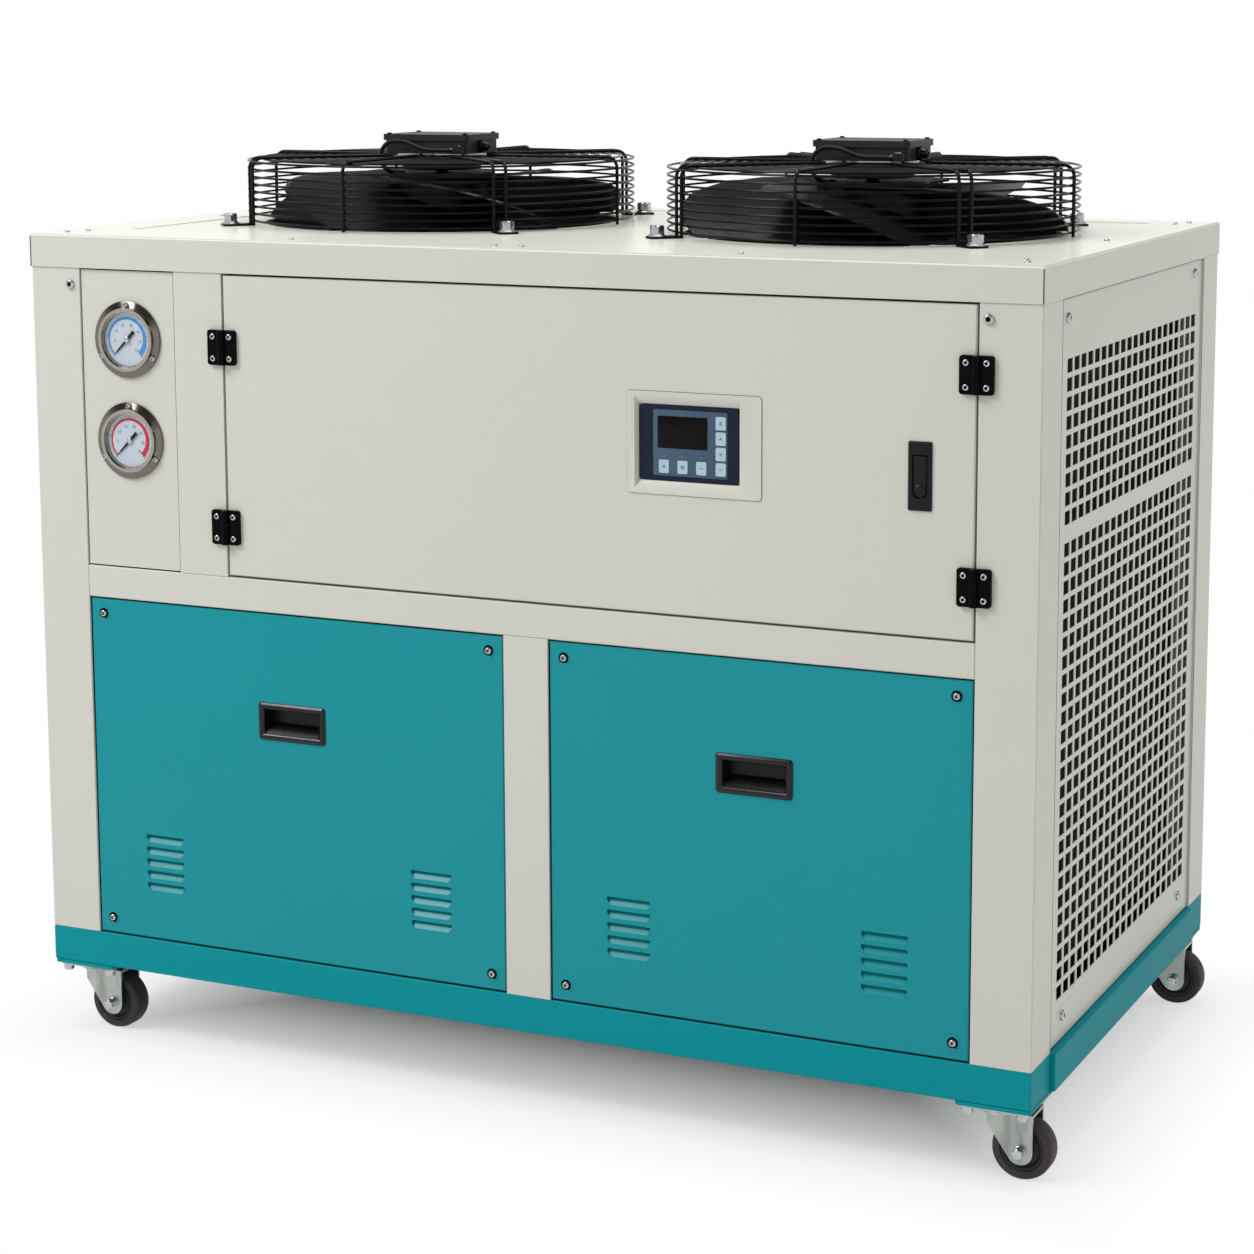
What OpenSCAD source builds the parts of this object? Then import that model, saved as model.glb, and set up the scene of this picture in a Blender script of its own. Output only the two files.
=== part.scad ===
// Air-cooled water chiller on casters: a sheet-metal cabinet with two roof fans,
// perforated side panels, two pressure gauges and one hinged control door.
// Origin on the floor at the middle of the footprint. X right, Y to the rear, Z up, in mm.

/* [Cabinet] */
// Width over the corner posts
cab_w = 1470; // [1440:5:1700]
// Depth over the corner posts
cab_d = 840; // [780:5:1000]
// Height from the base underside to the lid top
cab_h = 1050; // [1000:5:1200]
// Floor to base underside
ride_h = 105; // [104:1:130]
// Height of the lid skirt
lid_h = 45; // [30:1:60]
// How far the lid stands proud of the posts
lid_over = 1.4; // [0.5:0.1:1.8]
// Height of the base rails
base_h = 50; // [40:1:70]
// Depth of the front and rear base rails
base_d = 80; // [70:1:100]
// Width of the side base rails
side_rail_w = 60; // [50:1:75]
// How far the side base rails stand proud
side_proud = 7; // [2:0.5:9]
// Wall of the base rails
base_t = 3; // [2:0.5:5]

/* [Frame and panels] */
// Face width of the corner posts
post_w = 80; // [70:1:95]
// Wall of the posts and rails
frame_t = 2.5; // [1.5:0.5:3]
// Depth of the folded returns
return_d = 40; // [25:1:45]
// Depth of the panel seat behind the frame face
rebate = 4; // [3:0.5:6]
// Width of the lip a panel seats on
lip_w = 18; // [12:1:20]
// Wall of the panels and the lid
sheet_t = 2; // [1.5:0.5:3]
// Bevel on the outer edges of the lid, the posts, the lower panels and the door
edge = 1.6; // [0.8:0.2:2]
// Gap round the fixed panels
panel_gap = 2; // [1:0.5:4]
// Height of the lower bays
lower_h = 491; // [450:1:520]
// Height of the middle rail
mid_rail_h = 45; // [35:1:60]
// Width of the left lower bay
left_bay_w = 659; // [600:1:680]
// Width of the lower centre post
centre_post_w = 65; // [50:1:80]
// Width of the gauge bay
gauge_bay_w = 155; // [140:1:180]
// Width of the mullion beside the door
mullion_w = 77; // [60:1:90]

/* [Louvres and handles] */
// Louvres in a group
louvre_n = 5; // [3:1:6]
// Width of a louvre
louvre_w = 64; // [50:1:90]
// Height of a louvre
louvre_h = 11; // [8:0.5:13]
// Distance between louvres
louvre_pitch = 17.5; // [16:0.5:20]
// Depth a louvre is pressed in
louvre_d = 8; // [5:0.5:11]
// Bay edge to the middle of a louvre group
louvre_in = 115; // [90:1:140]
// Bay bottom to the middle of a louvre group
louvre_up = 113; // [80:1:150]
// Width of the pull handle frame
pull_w = 107; // [90:1:130]
// Height of the pull handle frame
pull_h = 53; // [45:1:70]
// Depth of the finger pocket
pull_d = 24; // [18:1:36]
// Border of the pull handle frame
pull_rim = 9; // [6:0.5:12]
// Bay bottom to the middle of the pull handle
pull_up = 338; // [300:1:380]

/* [Side perforation] */
// Width of a hole
hole_w = 23; // [14:0.5:24]
// Height of a hole
hole_h = 17.4; // [10:0.2:19]
// Distance between columns
hole_pitch_y = 29.8; // [28:0.2:40]
// Distance between rows
hole_pitch_z = 23.8; // [22:0.2:32]
// Rows above the plain band
upper_rows = 9; // [6:1:10]
// Panel top to the first row
perf_top = 75; // [50:1:100]
// Height of the plain band
perf_band = 23; // [15:1:40]
// Wall of the perforated panels
perf_t = 1.2; // [1:0.1:2]
// Smallest plain border of the panel
perf_side = 20; // [12:1:40]
// Plain border at the panel's foot
perf_foot = 40; // [30:1:80]

/* [Control door] */
// Gap round the door
door_gap = 3; // [2.5:0.5:5]
// Depth of the folded door edge
door_d = 18; // [12:1:25]
// Running gap behind the door
door_rest = 0.5; // [0.3:0.1:2]
// Depth of the control box behind the door
ctrl_d = 150; // [120:5:180]
// Height of a hinge
hinge_h = 48; // [40:1:60]
// Width of a hinge leaf from the pin
leaf_w = 22; // [20:0.5:26]
// Thickness of a hinge leaf
leaf_t = 5; // [4:0.5:6]
// Radius of a hinge knuckle
knuckle_r = 5.5; // [5:0.5:7]
// Radius of a hinge pin
hinge_pin_r = 2.5; // [2:0.1:3]
// Running clearance on the pins and shafts
run_fit = 0.08; // [0.05:0.01:0.1]
// Gap between the knuckles
knuckle_gap = 0.6; // [0.4:0.1:1]
// Bay bottom to the lower hinge
hinge_low = 70; // [50:1:100]
// Bay bottom to the upper left hinge
hinge_high = 318; // [280:1:340]
// Bay bottom to the upper right hinge
hinge_high_r = 331; // [280:1:345]

/* [Controller and latch] */
// Width of the control bezel
bezel_w = 186; // [180:1:220]
// Height of the control bezel
bezel_h = 132; // [130:1:170]
// Door's free edge to the bezel's near edge
bezel_in = 280; // [200:1:320]
// Door's lower edge to the bezel's lower edge
bezel_up = 155; // [100:1:200]
// Depth of the recess in the bezel
recess_d = 9; // [6:0.5:12]
// Bezel's far edge to the recess
recess_in = 10; // [7:0.5:14]
// Width of the recess
recess_w = 148; // [144:1:155]
// Height of the recess
recess_h = 120; // [112:1:124]
// Width of the controller
ctl_w = 138; // [120:1:140]
// Height of the controller
ctl_h = 97; // [80:1:106]
// Depth of the controller behind its face
ctl_d = 42; // [30:1:60]
// Width of the latch frame
latch_w = 33; // [29:1:38]
// Height of the latch frame
latch_h = 86; // [80:1:100]
// Door's free edge to the latch
latch_in = 70; // [50:1:90]
// Door's lower edge to the middle of the latch
latch_up = 200; // [150:1:240]
// Width of the latch lever
lever_w = 20; // [16:0.5:20]
// Length of the latch lever
lever_h = 59; // [52:1:66]

/* [Gauges] */
// Diameter of a gauge flange
gauge_d = 107; // [95:1:120]
// Diameter of a gauge bezel
gauge_bezel_d = 88; // [84:1:92]
// Diameter of a gauge dial
dial_d = 74; // [66:1:76]
// Distance between the gauges
gauge_pitch = 141; // [130:1:150]
// Bay top to the upper gauge
gauge_down = 97; // [80:1:115]

/* [Fans] */
// Distance between the fan axes
fan_pitch = 680; // [670:1:760]
// Fan axes behind the cabinet middle
fan_back = 55; // [0:1:70]
// Radius of the wire guard
guard_r = 290; // [286:1:296]
// Height of the wire guard
guard_h = 100; // [94:1:120]
// Side rings of the guard
side_rings = 9; // [5:1:9]
// Top rings of the guard
top_rings = 11; // [6:1:12]
// Ring wire
ring_d = 3; // [2.5:0.1:3.5]
// Leg wire
leg_d = 5; // [4:0.5:6]
// Distance between the two wires of a leg
leg_pair = 18; // [14:1:24]
// Guard foot bolt circle radius
foot_r = 319; // [316:1:325]
// Radius of the lid's fan opening
fan_hole_r = 262; // [252:1:264]
// Radius of the blade tips
tip_r = 271; // [250:1:273]
// Blades of a fan
blade_n = 5; // [4:1:6]
// Chord of a blade
blade_chord = 230; // [180:1:240]
// Blade setting angle
blade_pitch = 17; // [12:1:20]
// Middle of the blades above the lid
blade_z = 46; // [34:1:50]
// Radius of the blade camber
camber_r = 600; // [400:10:900]
// Blade thickness
blade_t = 3; // [2:0.1:4]
// Radius of the rotor hub
hub_r = 78; // [70:1:82]
// Top of the rotor hub above the lid
hub_top = 72; // [64:1:78]
// Height of the rotor hub
hub_h = 92; // [90:1:110]
// Turn of the left rotor at rest
left_turn = 25; // [0:1:71]
// Turn of the right rotor at rest
right_turn = 61; // [0:1:71]
// Gap between the rotor hub and the motor
hub_gap = 4; // [2:0.5:8]
// Radius of the fan shaft
shaft_r = 9; // [7:0.5:12]
// Depth of the fan shaft in the hub
shaft_in = 40; // [30:1:60]
// Radius of the fan motor
motor_r = 58; // [45:1:64]
// Size of the terminal box across
box_w = 142; // [130:1:170]
// Size of the terminal box front to back
box_d = 104; // [90:1:130]
// Height of the terminal box
box_h = 28; // [22:1:45]

/* [Casters] */
// Wheel radius
wheel_r = 40; // [34:0.5:40]
// Wheel width
wheel_w = 30; // [24:1:32]
// Swivel axis to axle
trail = 28; // [20:1:30]
// Size of the corner pad
pad_w = 100; // [94:1:110]
// Thickness of the corner pad
pad_t = 5; // [3:0.5:6]
// Size of the caster plate
plate_w = 90; // [76:1:92]
// Thickness of the caster plate
plate_t = 4; // [3:0.5:5]
// Height of the swivel race
race_h = 6; // [5:0.5:8]
// Radius of the swivel race
race_r = 29; // [26:0.5:32]
// Fork sheet
fork_t = 3.5; // [3:0.5:4]
// Clear width inside the fork
fork_gap = 39; // [38:0.5:44]
// Axle radius
axle_r = 6; // [5:0.5:7]

/* [Water ports] */
// Outside radius of a water port
port_r = 24; // [17:0.1:30]
// How far a water port stands out
port_out = 22; // [20:1:40]
// Bore radius of a water port
port_bore_r = 19; // [12:0.5:20]
// How far a water port reaches in
port_in = 34; // [25:1:60]
// Width of a water port's collars beyond the pipe
collar_w = 10; // [6:0.5:14]
// Distance between the water ports
port_pitch = 180; // [120:1:240]
// Bay bottom to the water ports
port_up = 150; // [100:1:250]

/* [Hidden] */
$fn = 64;

cream = [0.80, 0.80, 0.75];
teal = [0.12, 0.57, 0.60];
black = [0.08, 0.08, 0.09];
zinc = [0.72, 0.75, 0.80];
chrome = [0.82, 0.83, 0.85];

// Levels above the floor
z_base_top = ride_h + base_h;
z_low_top = z_base_top + lower_h;
z_mid_top = z_low_top + mid_rail_h;
z_top = ride_h + cab_h;
z_lid = z_top - lid_h;

// Faces and bay edges
y_front = -cab_d / 2;
x_in = cab_w / 2 - post_w;
y_in = cab_d / 2 - post_w;
x_cp0 = -x_in + left_bay_w;
x_cp1 = x_cp0 + centre_post_w;
x_ml0 = -x_in + gauge_bay_w;
x_ml1 = x_ml0 + mullion_w;
y_seat = y_front + rebate;
y_panel = y_seat - sheet_t;

// Door
door_x0 = x_ml1 + door_gap;
door_x1 = x_in - door_gap;
door_z0 = z_mid_top + door_gap;
door_z1 = z_lid - door_gap;
hinge_x0 = x_ml1 + door_gap / 2;
hinge_x1 = x_in - door_gap / 2;
hinge_y = y_front - leaf_t - 0.5;
hinge_zl = [z_mid_top + hinge_low, z_mid_top + hinge_high];
hinge_zr = [z_mid_top + hinge_low, z_mid_top + hinge_high_r];
bezel_x1 = door_x1 - bezel_in;
bezel_x0 = bezel_x1 - bezel_w;
bezel_z0 = door_z0 + bezel_up;
bezel_t = 1.2;
recess_x0 = bezel_x0 + recess_in;
recess_z0 = bezel_z0 + (bezel_h - recess_h) / 2;
ctl_x0 = recess_x0 + (recess_w - ctl_w) / 2;
ctl_z0 = recess_z0 + (recess_h - ctl_h) / 2;
recess_y = y_front + recess_d;
ctl_face = recess_y - 4.5;
latch_x = door_x1 - latch_in;
latch_z = door_z0 + latch_up;
latch_proud = 3;
lever_t = 5;
lever_y = y_front - latch_proud + lever_t / 2 + 0.5;
lever_top = latch_z + lever_h / 2;

// Gauges
gauge_x = -x_in + gauge_bay_w / 2;
gauge_z = [z_lid - gauge_down - gauge_pitch, z_lid - gauge_down];
gauge_proud = 9;
flange_t = 3;
gauge_back = 36;

// Casters
pad_c = [cab_w / 2 - pad_w / 2, cab_d / 2 - pad_w / 2];
z_pad = ride_h - pad_t;
z_plate = z_pad - plate_t;
z_race = z_plate - race_h;
fork_rest = 0.3;
z_fork = z_race - fork_rest - fork_t;
king_r = 9;

// Helpers

// Rounded rectangle about the origin
module rrect(w, h, r) {
  square([w - 2 * r, h], center = true);
  square([w, h - 2 * r], center = true);
  for (sx = [-1, 1], sz = [-1, 1])
    translate([sx * (w / 2 - r), sz * (h / 2 - r)]) circle(r);
}

// Upright plate: a drawing in x and z, from y0 back by t
module upright(y0, t) {
  translate([0, y0 + t, 0]) rotate([90, 0, 0]) linear_extrude(t) children();
}

// Box by its low and high corners
module span(a, b) {
  translate(a) cube(b - a);
}

// Box that narrows by c over its last c of depth, towards -y; drawn by its low and high corners
module bevelled(a, b, c) {
  intersection() {
    translate([0, 0, a[2]]) linear_extrude(b[2] - a[2])
      polygon([[a[0] + c, a[1]], [b[0] - c, a[1]], [b[0], a[1] + c], [b[0], b[1]],
               [a[0], b[1]], [a[0], a[1] + c]]);
    translate([a[0], 0, 0]) rotate([90, 0, 90]) linear_extrude(b[0] - a[0])
      polygon([[a[1], a[2] + c], [a[1] + c, a[2]], [b[1], a[2]], [b[1], b[2]],
               [a[1] + c, b[2]], [a[1], b[2] - c]]);
  }
}

// The same shape at the rear
module rear() {
  mirror([0, 1, 0]) children();
}

// Base

module end_rail() {
  difference() {
    span([-cab_w / 2, y_front, ride_h], [cab_w / 2, y_front + base_d, z_base_top]);
    span([-cab_w / 2 + base_t, y_front + base_t, ride_h + base_t],
         [cab_w / 2 - base_t, y_front + base_d + 1, z_base_top - base_t]);
  }
}

module side_rail() {
  x1 = cab_w / 2 + side_proud;
  y1 = cab_d / 2 - base_d;
  difference() {
    span([x1 - side_rail_w, -y1, ride_h], [x1, y1, z_base_top]);
    span([x1 - side_rail_w - 1, -y1 + base_t, ride_h + base_t],
         [x1 - base_t, y1 - base_t, z_base_top - base_t]);
  }
}

module front_base_rail() { color(teal) end_rail(); }
module rear_base_rail() { color(teal) rear() end_rail(); }
module right_base_rail() { color(teal) side_rail(); }
module left_base_rail() { color(teal) mirror([1, 0, 0]) side_rail(); }

module corner_pads() {
  color(teal)
    for (sx = [-1, 1], sy = [-1, 1])
      translate([sx * pad_c[0], sy * pad_c[1], z_pad])
        linear_extrude(pad_t) rrect(pad_w, pad_w, 6);
}

module floor_pan() {
  x1 = cab_w / 2 + side_proud - side_rail_w - 0.5;
  y1 = cab_d / 2 - base_t - 0.5;
  z1 = z_base_top - base_t;
  color([0.6, 0.62, 0.62]) span([-x1, -y1, z1 - sheet_t], [x1, y1, z1]);
}

// Frame

// Folded corner post, drawn at the front right corner
module post_section() {
  translate([cab_w / 2, y_front]) difference() {
    union() {
      translate([-post_w, 0]) square([post_w, frame_t]);
      translate([-frame_t, 0]) square([frame_t, post_w]);
      translate([-post_w, 0]) square([frame_t, return_d]);
      translate([-return_d, post_w - frame_t]) square([return_d, frame_t]);
    }
    polygon([[-edge, 0], [1, -1], [0, edge]]);
  }
}

module front_lip() {
  translate([cab_w / 2 - post_w - lip_w, y_seat]) square([lip_w + frame_t, frame_t]);
}

module side_lip() {
  translate([cab_w / 2 - rebate - frame_t, y_front + post_w - frame_t])
    square([frame_t, lip_w + frame_t]);
}

module post(upper_lip) {
  translate([0, 0, z_base_top]) {
    linear_extrude(z_lid - z_base_top) {
      post_section();
      side_lip();
    }
    linear_extrude(lower_h) front_lip();
  }
  if (upper_lip)
    translate([0, 0, z_mid_top]) linear_extrude(z_lid - z_mid_top) front_lip();
}

module front_right_post() { color(cream) post(false); }
module front_left_post() { color(cream) mirror([1, 0, 0]) post(true); }
module rear_right_post() { color(cream) rear() post(true); }
module rear_left_post() { color(cream) rear() mirror([1, 0, 0]) post(true); }

// Folded channel across the cabinet with seats for the lower panels
module middle_rail() {
  translate([-x_in, 0, 0]) rotate([90, 0, 90]) linear_extrude(2 * x_in)
    translate([y_front, z_low_top]) {
      square([frame_t, mid_rail_h]);
      square([return_d, frame_t]);
      translate([0, mid_rail_h - frame_t]) square([return_d, frame_t]);
    }
  for (b = [[-x_in, x_cp0], [x_cp1, x_in]])
    span([b[0] + lip_w + 1, y_seat, z_low_top - lip_w],
         [b[1] - lip_w - 1, y_seat + frame_t, z_low_top + frame_t]);
}

// Folded upright between two bays, with a lip on each side that holds a panel
module upright_post(x0, x1, z0, z1, left_lip, right_lip) {
  translate([0, 0, z0]) linear_extrude(z1 - z0) {
    translate([x0, y_front]) {
      square([x1 - x0, frame_t]);
      square([frame_t, return_d]);
      translate([x1 - x0 - frame_t, 0]) square([frame_t, return_d]);
    }
    if (left_lip)
      translate([x0 - lip_w, y_seat]) square([lip_w + frame_t, frame_t]);
    if (right_lip)
      translate([x1 - frame_t, y_seat]) square([lip_w + frame_t, frame_t]);
  }
}

module front_middle_rail() { color(cream) middle_rail(); }
module rear_middle_rail() { color(cream) rear() middle_rail(); }
module front_centre_post() {
  color(cream) upright_post(x_cp0, x_cp1, z_base_top, z_low_top, true, true);
}
module rear_centre_post() {
  color(cream) rear() upright_post(x_cp0, x_cp1, z_base_top, z_low_top, true, true);
}
module door_mullion() {
  color(cream) upright_post(x_ml0, x_ml1, z_mid_top, z_lid, true, false);
}

// Lid with a skirt on all sides and a round opening under each fan
module lid() {
  color(cream) difference() {
    translate([0, 0, z_top]) rotate([-90, 0, 0])
      bevelled([-cab_w / 2 - lid_over, 0, y_front - lid_over],
               [cab_w / 2 + lid_over, lid_h, -y_front + lid_over], edge);
    span([-cab_w / 2 - lid_over + sheet_t, y_front - lid_over + sheet_t, z_lid - 1],
         [cab_w / 2 + lid_over - sheet_t, -y_front + lid_over - sheet_t, z_top - sheet_t]);
    for (s = [-1, 1])
      translate([s * fan_pitch / 2, fan_back, z_top - sheet_t - 1])
        cylinder(r = fan_hole_r, h = sheet_t + 2, $fn = 128);
  }
}

// Panels

module bay_sheet(x0, x1, z0, z1) {
  translate([x0 + panel_gap, z0 + panel_gap])
    square([x1 - x0 - 2 * panel_gap, z1 - z0 - 2 * panel_gap]);
}

module gauge_panel() {
  color(cream) upright(y_panel, sheet_t) difference() {
    bay_sheet(-x_in, x_ml0, z_mid_top, z_lid);
    for (z = gauge_z) translate([gauge_x, z]) circle(d = gauge_bezel_d - 4);
  }
}

// Positions of the louvres of one bay
function louvre_spots(x0, x1) = [
  for (x = [x0 + louvre_in, x1 - louvre_in], i = [0 : louvre_n - 1])
    [x, z_base_top + louvre_up + (i - (louvre_n - 1) / 2) * louvre_pitch]
];

// One pressed louvre: the flap leans in from its lower edge and leaves a slit at the top
module louvre_flap() {
  foot = [[0, -louvre_h / 2 - 1.5], [sheet_t, -louvre_h / 2 - 1.5]];
  tip = [[louvre_d, louvre_h / 2 - 2.5], [louvre_d, louvre_h / 2]];
  translate([-louvre_w / 2, 0, 0]) rotate([90, 0, 90]) linear_extrude(louvre_w)
    polygon(concat(foot, tip, [[0, -louvre_h / 2]]));
  for (s = [-1, 1])
    translate([s * louvre_w / 2 - sheet_t / 2, 0, 0])
      rotate([90, 0, 90]) linear_extrude(sheet_t)
        polygon(concat(foot, tip, [[0, louvre_h / 2]]));
}

module service_panel(x0, x1) {
  spots = louvre_spots(x0, x1);
  difference() {
    bevelled([x0 + panel_gap, y_panel, z_base_top + panel_gap],
             [x1 - panel_gap, y_panel + sheet_t, z_low_top - panel_gap], edge);
    upright(y_panel - 1, sheet_t + 2) {
      translate([(x0 + x1) / 2, z_base_top + pull_up])
        rrect(pull_w - 2 * pull_rim + 8, pull_h - 2 * pull_rim + 8, 4);
      for (p = spots) translate(p) square([louvre_w, louvre_h], center = true);
    }
  }
  for (p = spots) translate([p[0], y_panel, p[1]]) louvre_flap();
}

module left_service_panel() { color(teal) service_panel(-x_in, x_cp0); }
module right_service_panel() { color(teal) service_panel(x_cp1, x_in); }

// Moulded recessed pull: a rounded frame on the sheet and a finger pocket behind it
module pull_handle(x0, x1) {
  translate([(x0 + x1) / 2, 0, z_base_top + pull_up]) difference() {
    union() {
      upright(y_panel - 3, 3) rrect(pull_w, pull_h, 7);
      upright(y_panel - 1, pull_d + 1)
        rrect(pull_w - 2 * pull_rim + 5, pull_h - 2 * pull_rim + 5, 3.5);
    }
    upright(y_panel - 4, pull_d + 1.5) rrect(pull_w - 2 * pull_rim, pull_h - 2 * pull_rim, 3);
  }
}

module left_pull_handle() { color(black) pull_handle(-x_in, x_cp0); }
module right_pull_handle() { color(black) pull_handle(x_cp1, x_in); }

// Perforated side panel
module perforated_sheet() {
  pw = 2 * y_in - 2 * panel_gap;
  z0 = z_base_top + panel_gap;
  z1 = z_lid - panel_gap;
  cols = floor((pw - 2 * perf_side + hole_pitch_y - hole_w) / hole_pitch_y);
  yc = (cols - 1) * hole_pitch_y / 2;
  z_a = z1 - perf_top;
  z_b = z_a - (upper_rows - 1) * hole_pitch_z - hole_h - perf_band;
  low_rows = floor((z_b - z0 - perf_foot + hole_pitch_z - hole_h) / hole_pitch_z);
  tops = concat([for (i = [0 : upper_rows - 1]) z_a - i * hole_pitch_z],
                [for (i = [0 : low_rows - 1]) z_b - i * hole_pitch_z]);
  difference() {
    translate([-pw / 2, z0]) square([pw, z1 - z0]);
    for (c = [0 : cols - 1], t = tops)
      translate([c * hole_pitch_y - yc - hole_w / 2, t - hole_h]) square([hole_w, hole_h]);
  }
}

module side_panel() {
  translate([cab_w / 2 - rebate, 0, 0])
    rotate([90, 0, 90]) linear_extrude(perf_t) perforated_sheet();
}

module right_side_panel() { color(cream) side_panel(); }
module left_side_panel() { color(cream) mirror([1, 0, 0]) side_panel(); }

module rear_upper_panel() {
  color(cream) rear() upright(y_panel, sheet_t) bay_sheet(-x_in, x_in, z_mid_top, z_lid);
}

port_x = (x_cp1 + x_in) / 2;
neck_r = port_r - 2;
collar_t = 3;
relief = 1.5;

module rear_right_panel() {
  color(teal) rear() upright(y_panel, sheet_t) difference() {
    bay_sheet(x_cp1, x_in, z_base_top, z_low_top);
    for (s = [-1, 1])
      translate([port_x + s * port_pitch / 2, z_base_top + port_up]) circle(neck_r + run_fit);
  }
}
module rear_left_panel() {
  color(teal) rear() upright(y_panel, sheet_t) bay_sheet(-x_in, x_cp0, z_base_top, z_low_top);
}

// Water inlet and outlet: a plain pipe end on a neck, with a collar on each face of the sheet
module water_ports() {
  y_collar = -y_panel + collar_t;
  y_pipe = y_collar + relief;
  y_end = -y_front + port_out;
  y_in_end = -y_front - port_in;
  color(zinc) rear()
    for (s = [-1, 1])
      translate([port_x + s * port_pitch / 2, 0, z_base_top + port_up]) rotate([90, 0, 0])
        difference() {
          union() {
            translate([0, 0, y_in_end]) cylinder(r = neck_r, h = y_pipe - y_in_end);
            translate([0, 0, -y_seat - 2 * collar_t])
              cylinder(r = port_r + collar_w, h = 2 * collar_t);
            translate([0, 0, -y_panel]) cylinder(r = port_r + collar_w, h = collar_t);
            translate([0, 0, y_pipe]) cylinder(r = port_r, h = y_end - y_pipe);
          }
          translate([0, 0, y_in_end - 1]) cylinder(r = port_bore_r, h = y_end - y_in_end + 2);
        }
}

// Gauges

module gauge_place() {
  for (z = gauge_z) translate([gauge_x, y_panel, z]) rotate([90, 0, 0]) children();
}

module gauge_cases() {
  color(chrome) gauge_place() difference() {
    union() {
      cylinder(d = gauge_d, h = flange_t);
      cylinder(d = gauge_bezel_d, h = gauge_proud);
      translate([0, 0, -gauge_back]) cylinder(d = gauge_bezel_d - 8, h = gauge_back + 1);
    }
    translate([0, 0, 1]) cylinder(d = dial_d + 1, h = gauge_proud);
    translate([0, 0, gauge_proud - 3]) cylinder(d = dial_d + 5, h = 4);
  }
}

module gauge_dials() {
  color([0.95, 0.95, 0.93]) gauge_place() translate([0, 0, 1]) cylinder(d = dial_d, h = 1);
}

module gauge_needles() {
  color(black) gauge_place() translate([0, 0, 2]) {
    cylinder(d = 7, h = 2.2);
    translate([0, 0, 1]) linear_extrude(0.8) rotate(225)
      polygon([[-16, -2.6], [-16, 2.6], [0, 2], [dial_d / 2 - 8, 0.5],
               [dial_d / 2 - 8, -0.5], [0, -2]]);
  }
}

module gauge_lenses() {
  color([0.8, 0.9, 0.9, 0.4]) gauge_place()
    translate([0, 0, gauge_proud - 3]) cylinder(d = dial_d + 4.4, h = 1.6);
}

// Control compartment: a folded box that is open to the door
module control_box() {
  y0 = y_front + door_d + door_rest;
  color([0.70, 0.71, 0.69]) difference() {
    span([x_ml1, y0, z_mid_top], [x_in, y0 + ctrl_d, z_lid]);
    span([x_ml1 + sheet_t, y0 - 1, z_mid_top + sheet_t],
         [x_in - sheet_t, y0 + ctrl_d - sheet_t, z_lid - sheet_t]);
  }
}

// Finned condenser blocks behind the perforated panels
coil_t = 44;
coil_x = cab_w / 2 - 74;
module condenser_coils() {
  y1 = y_in - lip_w - 6;
  color([0.35, 0.37, 0.38])
    for (s = [0, 1])
      mirror([s, 0, 0]) span([coil_x, -y1, z_base_top], [coil_x + coil_t, y1, z_lid - 20]);
}

// Hinges

// Knuckle slots of a hinge, from its bottom: one of three for the door, two for the frame
function knuckles(mid) = mid ? [[hinge_h / 3, 2 * hinge_h / 3]] :
  [[0, hinge_h / 3], [2 * hinge_h / 3, hinge_h]];

// Leaf to the right of the pin with its share of the knuckles; pin true keeps a running bore
module hinge_leaf(mid, bore) {
  others = knuckles(!mid);
  difference() {
    union() {
      translate([0, leaf_t / 2 - hinge_y + y_front - leaf_t, hinge_h / 2])
        rotate([90, 0, 0]) linear_extrude(leaf_t, center = true) {
          translate([0, -hinge_h / 2]) square([leaf_w - 4, hinge_h]);
          translate([leaf_w - 8, -hinge_h / 2 + 4]) square([8, hinge_h - 8]);
          for (s = [-1, 1])
            translate([leaf_w - 4, s * (hinge_h / 2 - 4)]) circle(4);
        }
      for (k = knuckles(mid))
        translate([0, 0, k[0] + knuckle_gap / 2])
          cylinder(r = knuckle_r, h = k[1] - k[0] - knuckle_gap);
    }
    for (k = others)
      translate([0, 0, k[0] - knuckle_gap / 2 - (k[0] == 0 ? 5 : 0)])
        cylinder(r = knuckle_r + 0.8, h = k[1] - k[0] + knuckle_gap + (k[0] == 0 ? 5 : 0)
                 + (k[1] == hinge_h ? 5 : 0));
    if (bore) translate([0, 0, -1]) cylinder(r = hinge_pin_r + run_fit, h = hinge_h + 2);
  }
}

// Fixed leaves on the mullion, with their pins, and on the right post
module frame_hinge_leaves() {
  color(black) {
    for (z = hinge_zl)
      translate([hinge_x0, hinge_y, z - hinge_h / 2]) {
        mirror([1, 0, 0]) hinge_leaf(false, false);
        cylinder(r = hinge_pin_r, h = hinge_h);
      }
    for (z = hinge_zr)
      translate([hinge_x1, hinge_y, z - hinge_h / 2]) hinge_leaf(false, false);
  }
}

// Moving leaves on the door, at both of its edges
module door_hinge_leaves() {
  color(black) {
    for (z = hinge_zl)
      translate([hinge_x0, hinge_y, z - hinge_h / 2]) hinge_leaf(true, true);
    for (z = hinge_zr)
      translate([hinge_x1, hinge_y, z - hinge_h / 2]) mirror([1, 0, 0]) hinge_leaf(true, false);
  }
}

// Door

// Door sheet with a bevelled face edge and openings for the bezel and the latch
module control_door() {
  color(cream) difference() {
    bevelled([door_x0, y_front, door_z0], [door_x1, y_front + sheet_t, door_z1], edge);
    upright(y_front - 1, sheet_t + 2)
      translate([recess_x0 + recess_w / 2, recess_z0 + recess_h / 2])
        rrect(recess_w + 6, recess_h + 6, 6);
    upright(y_front - 1, sheet_t + 2) translate([latch_x, latch_z])
      rrect(latch_w - 6, latch_h - 6, 3);
  }
}

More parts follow.
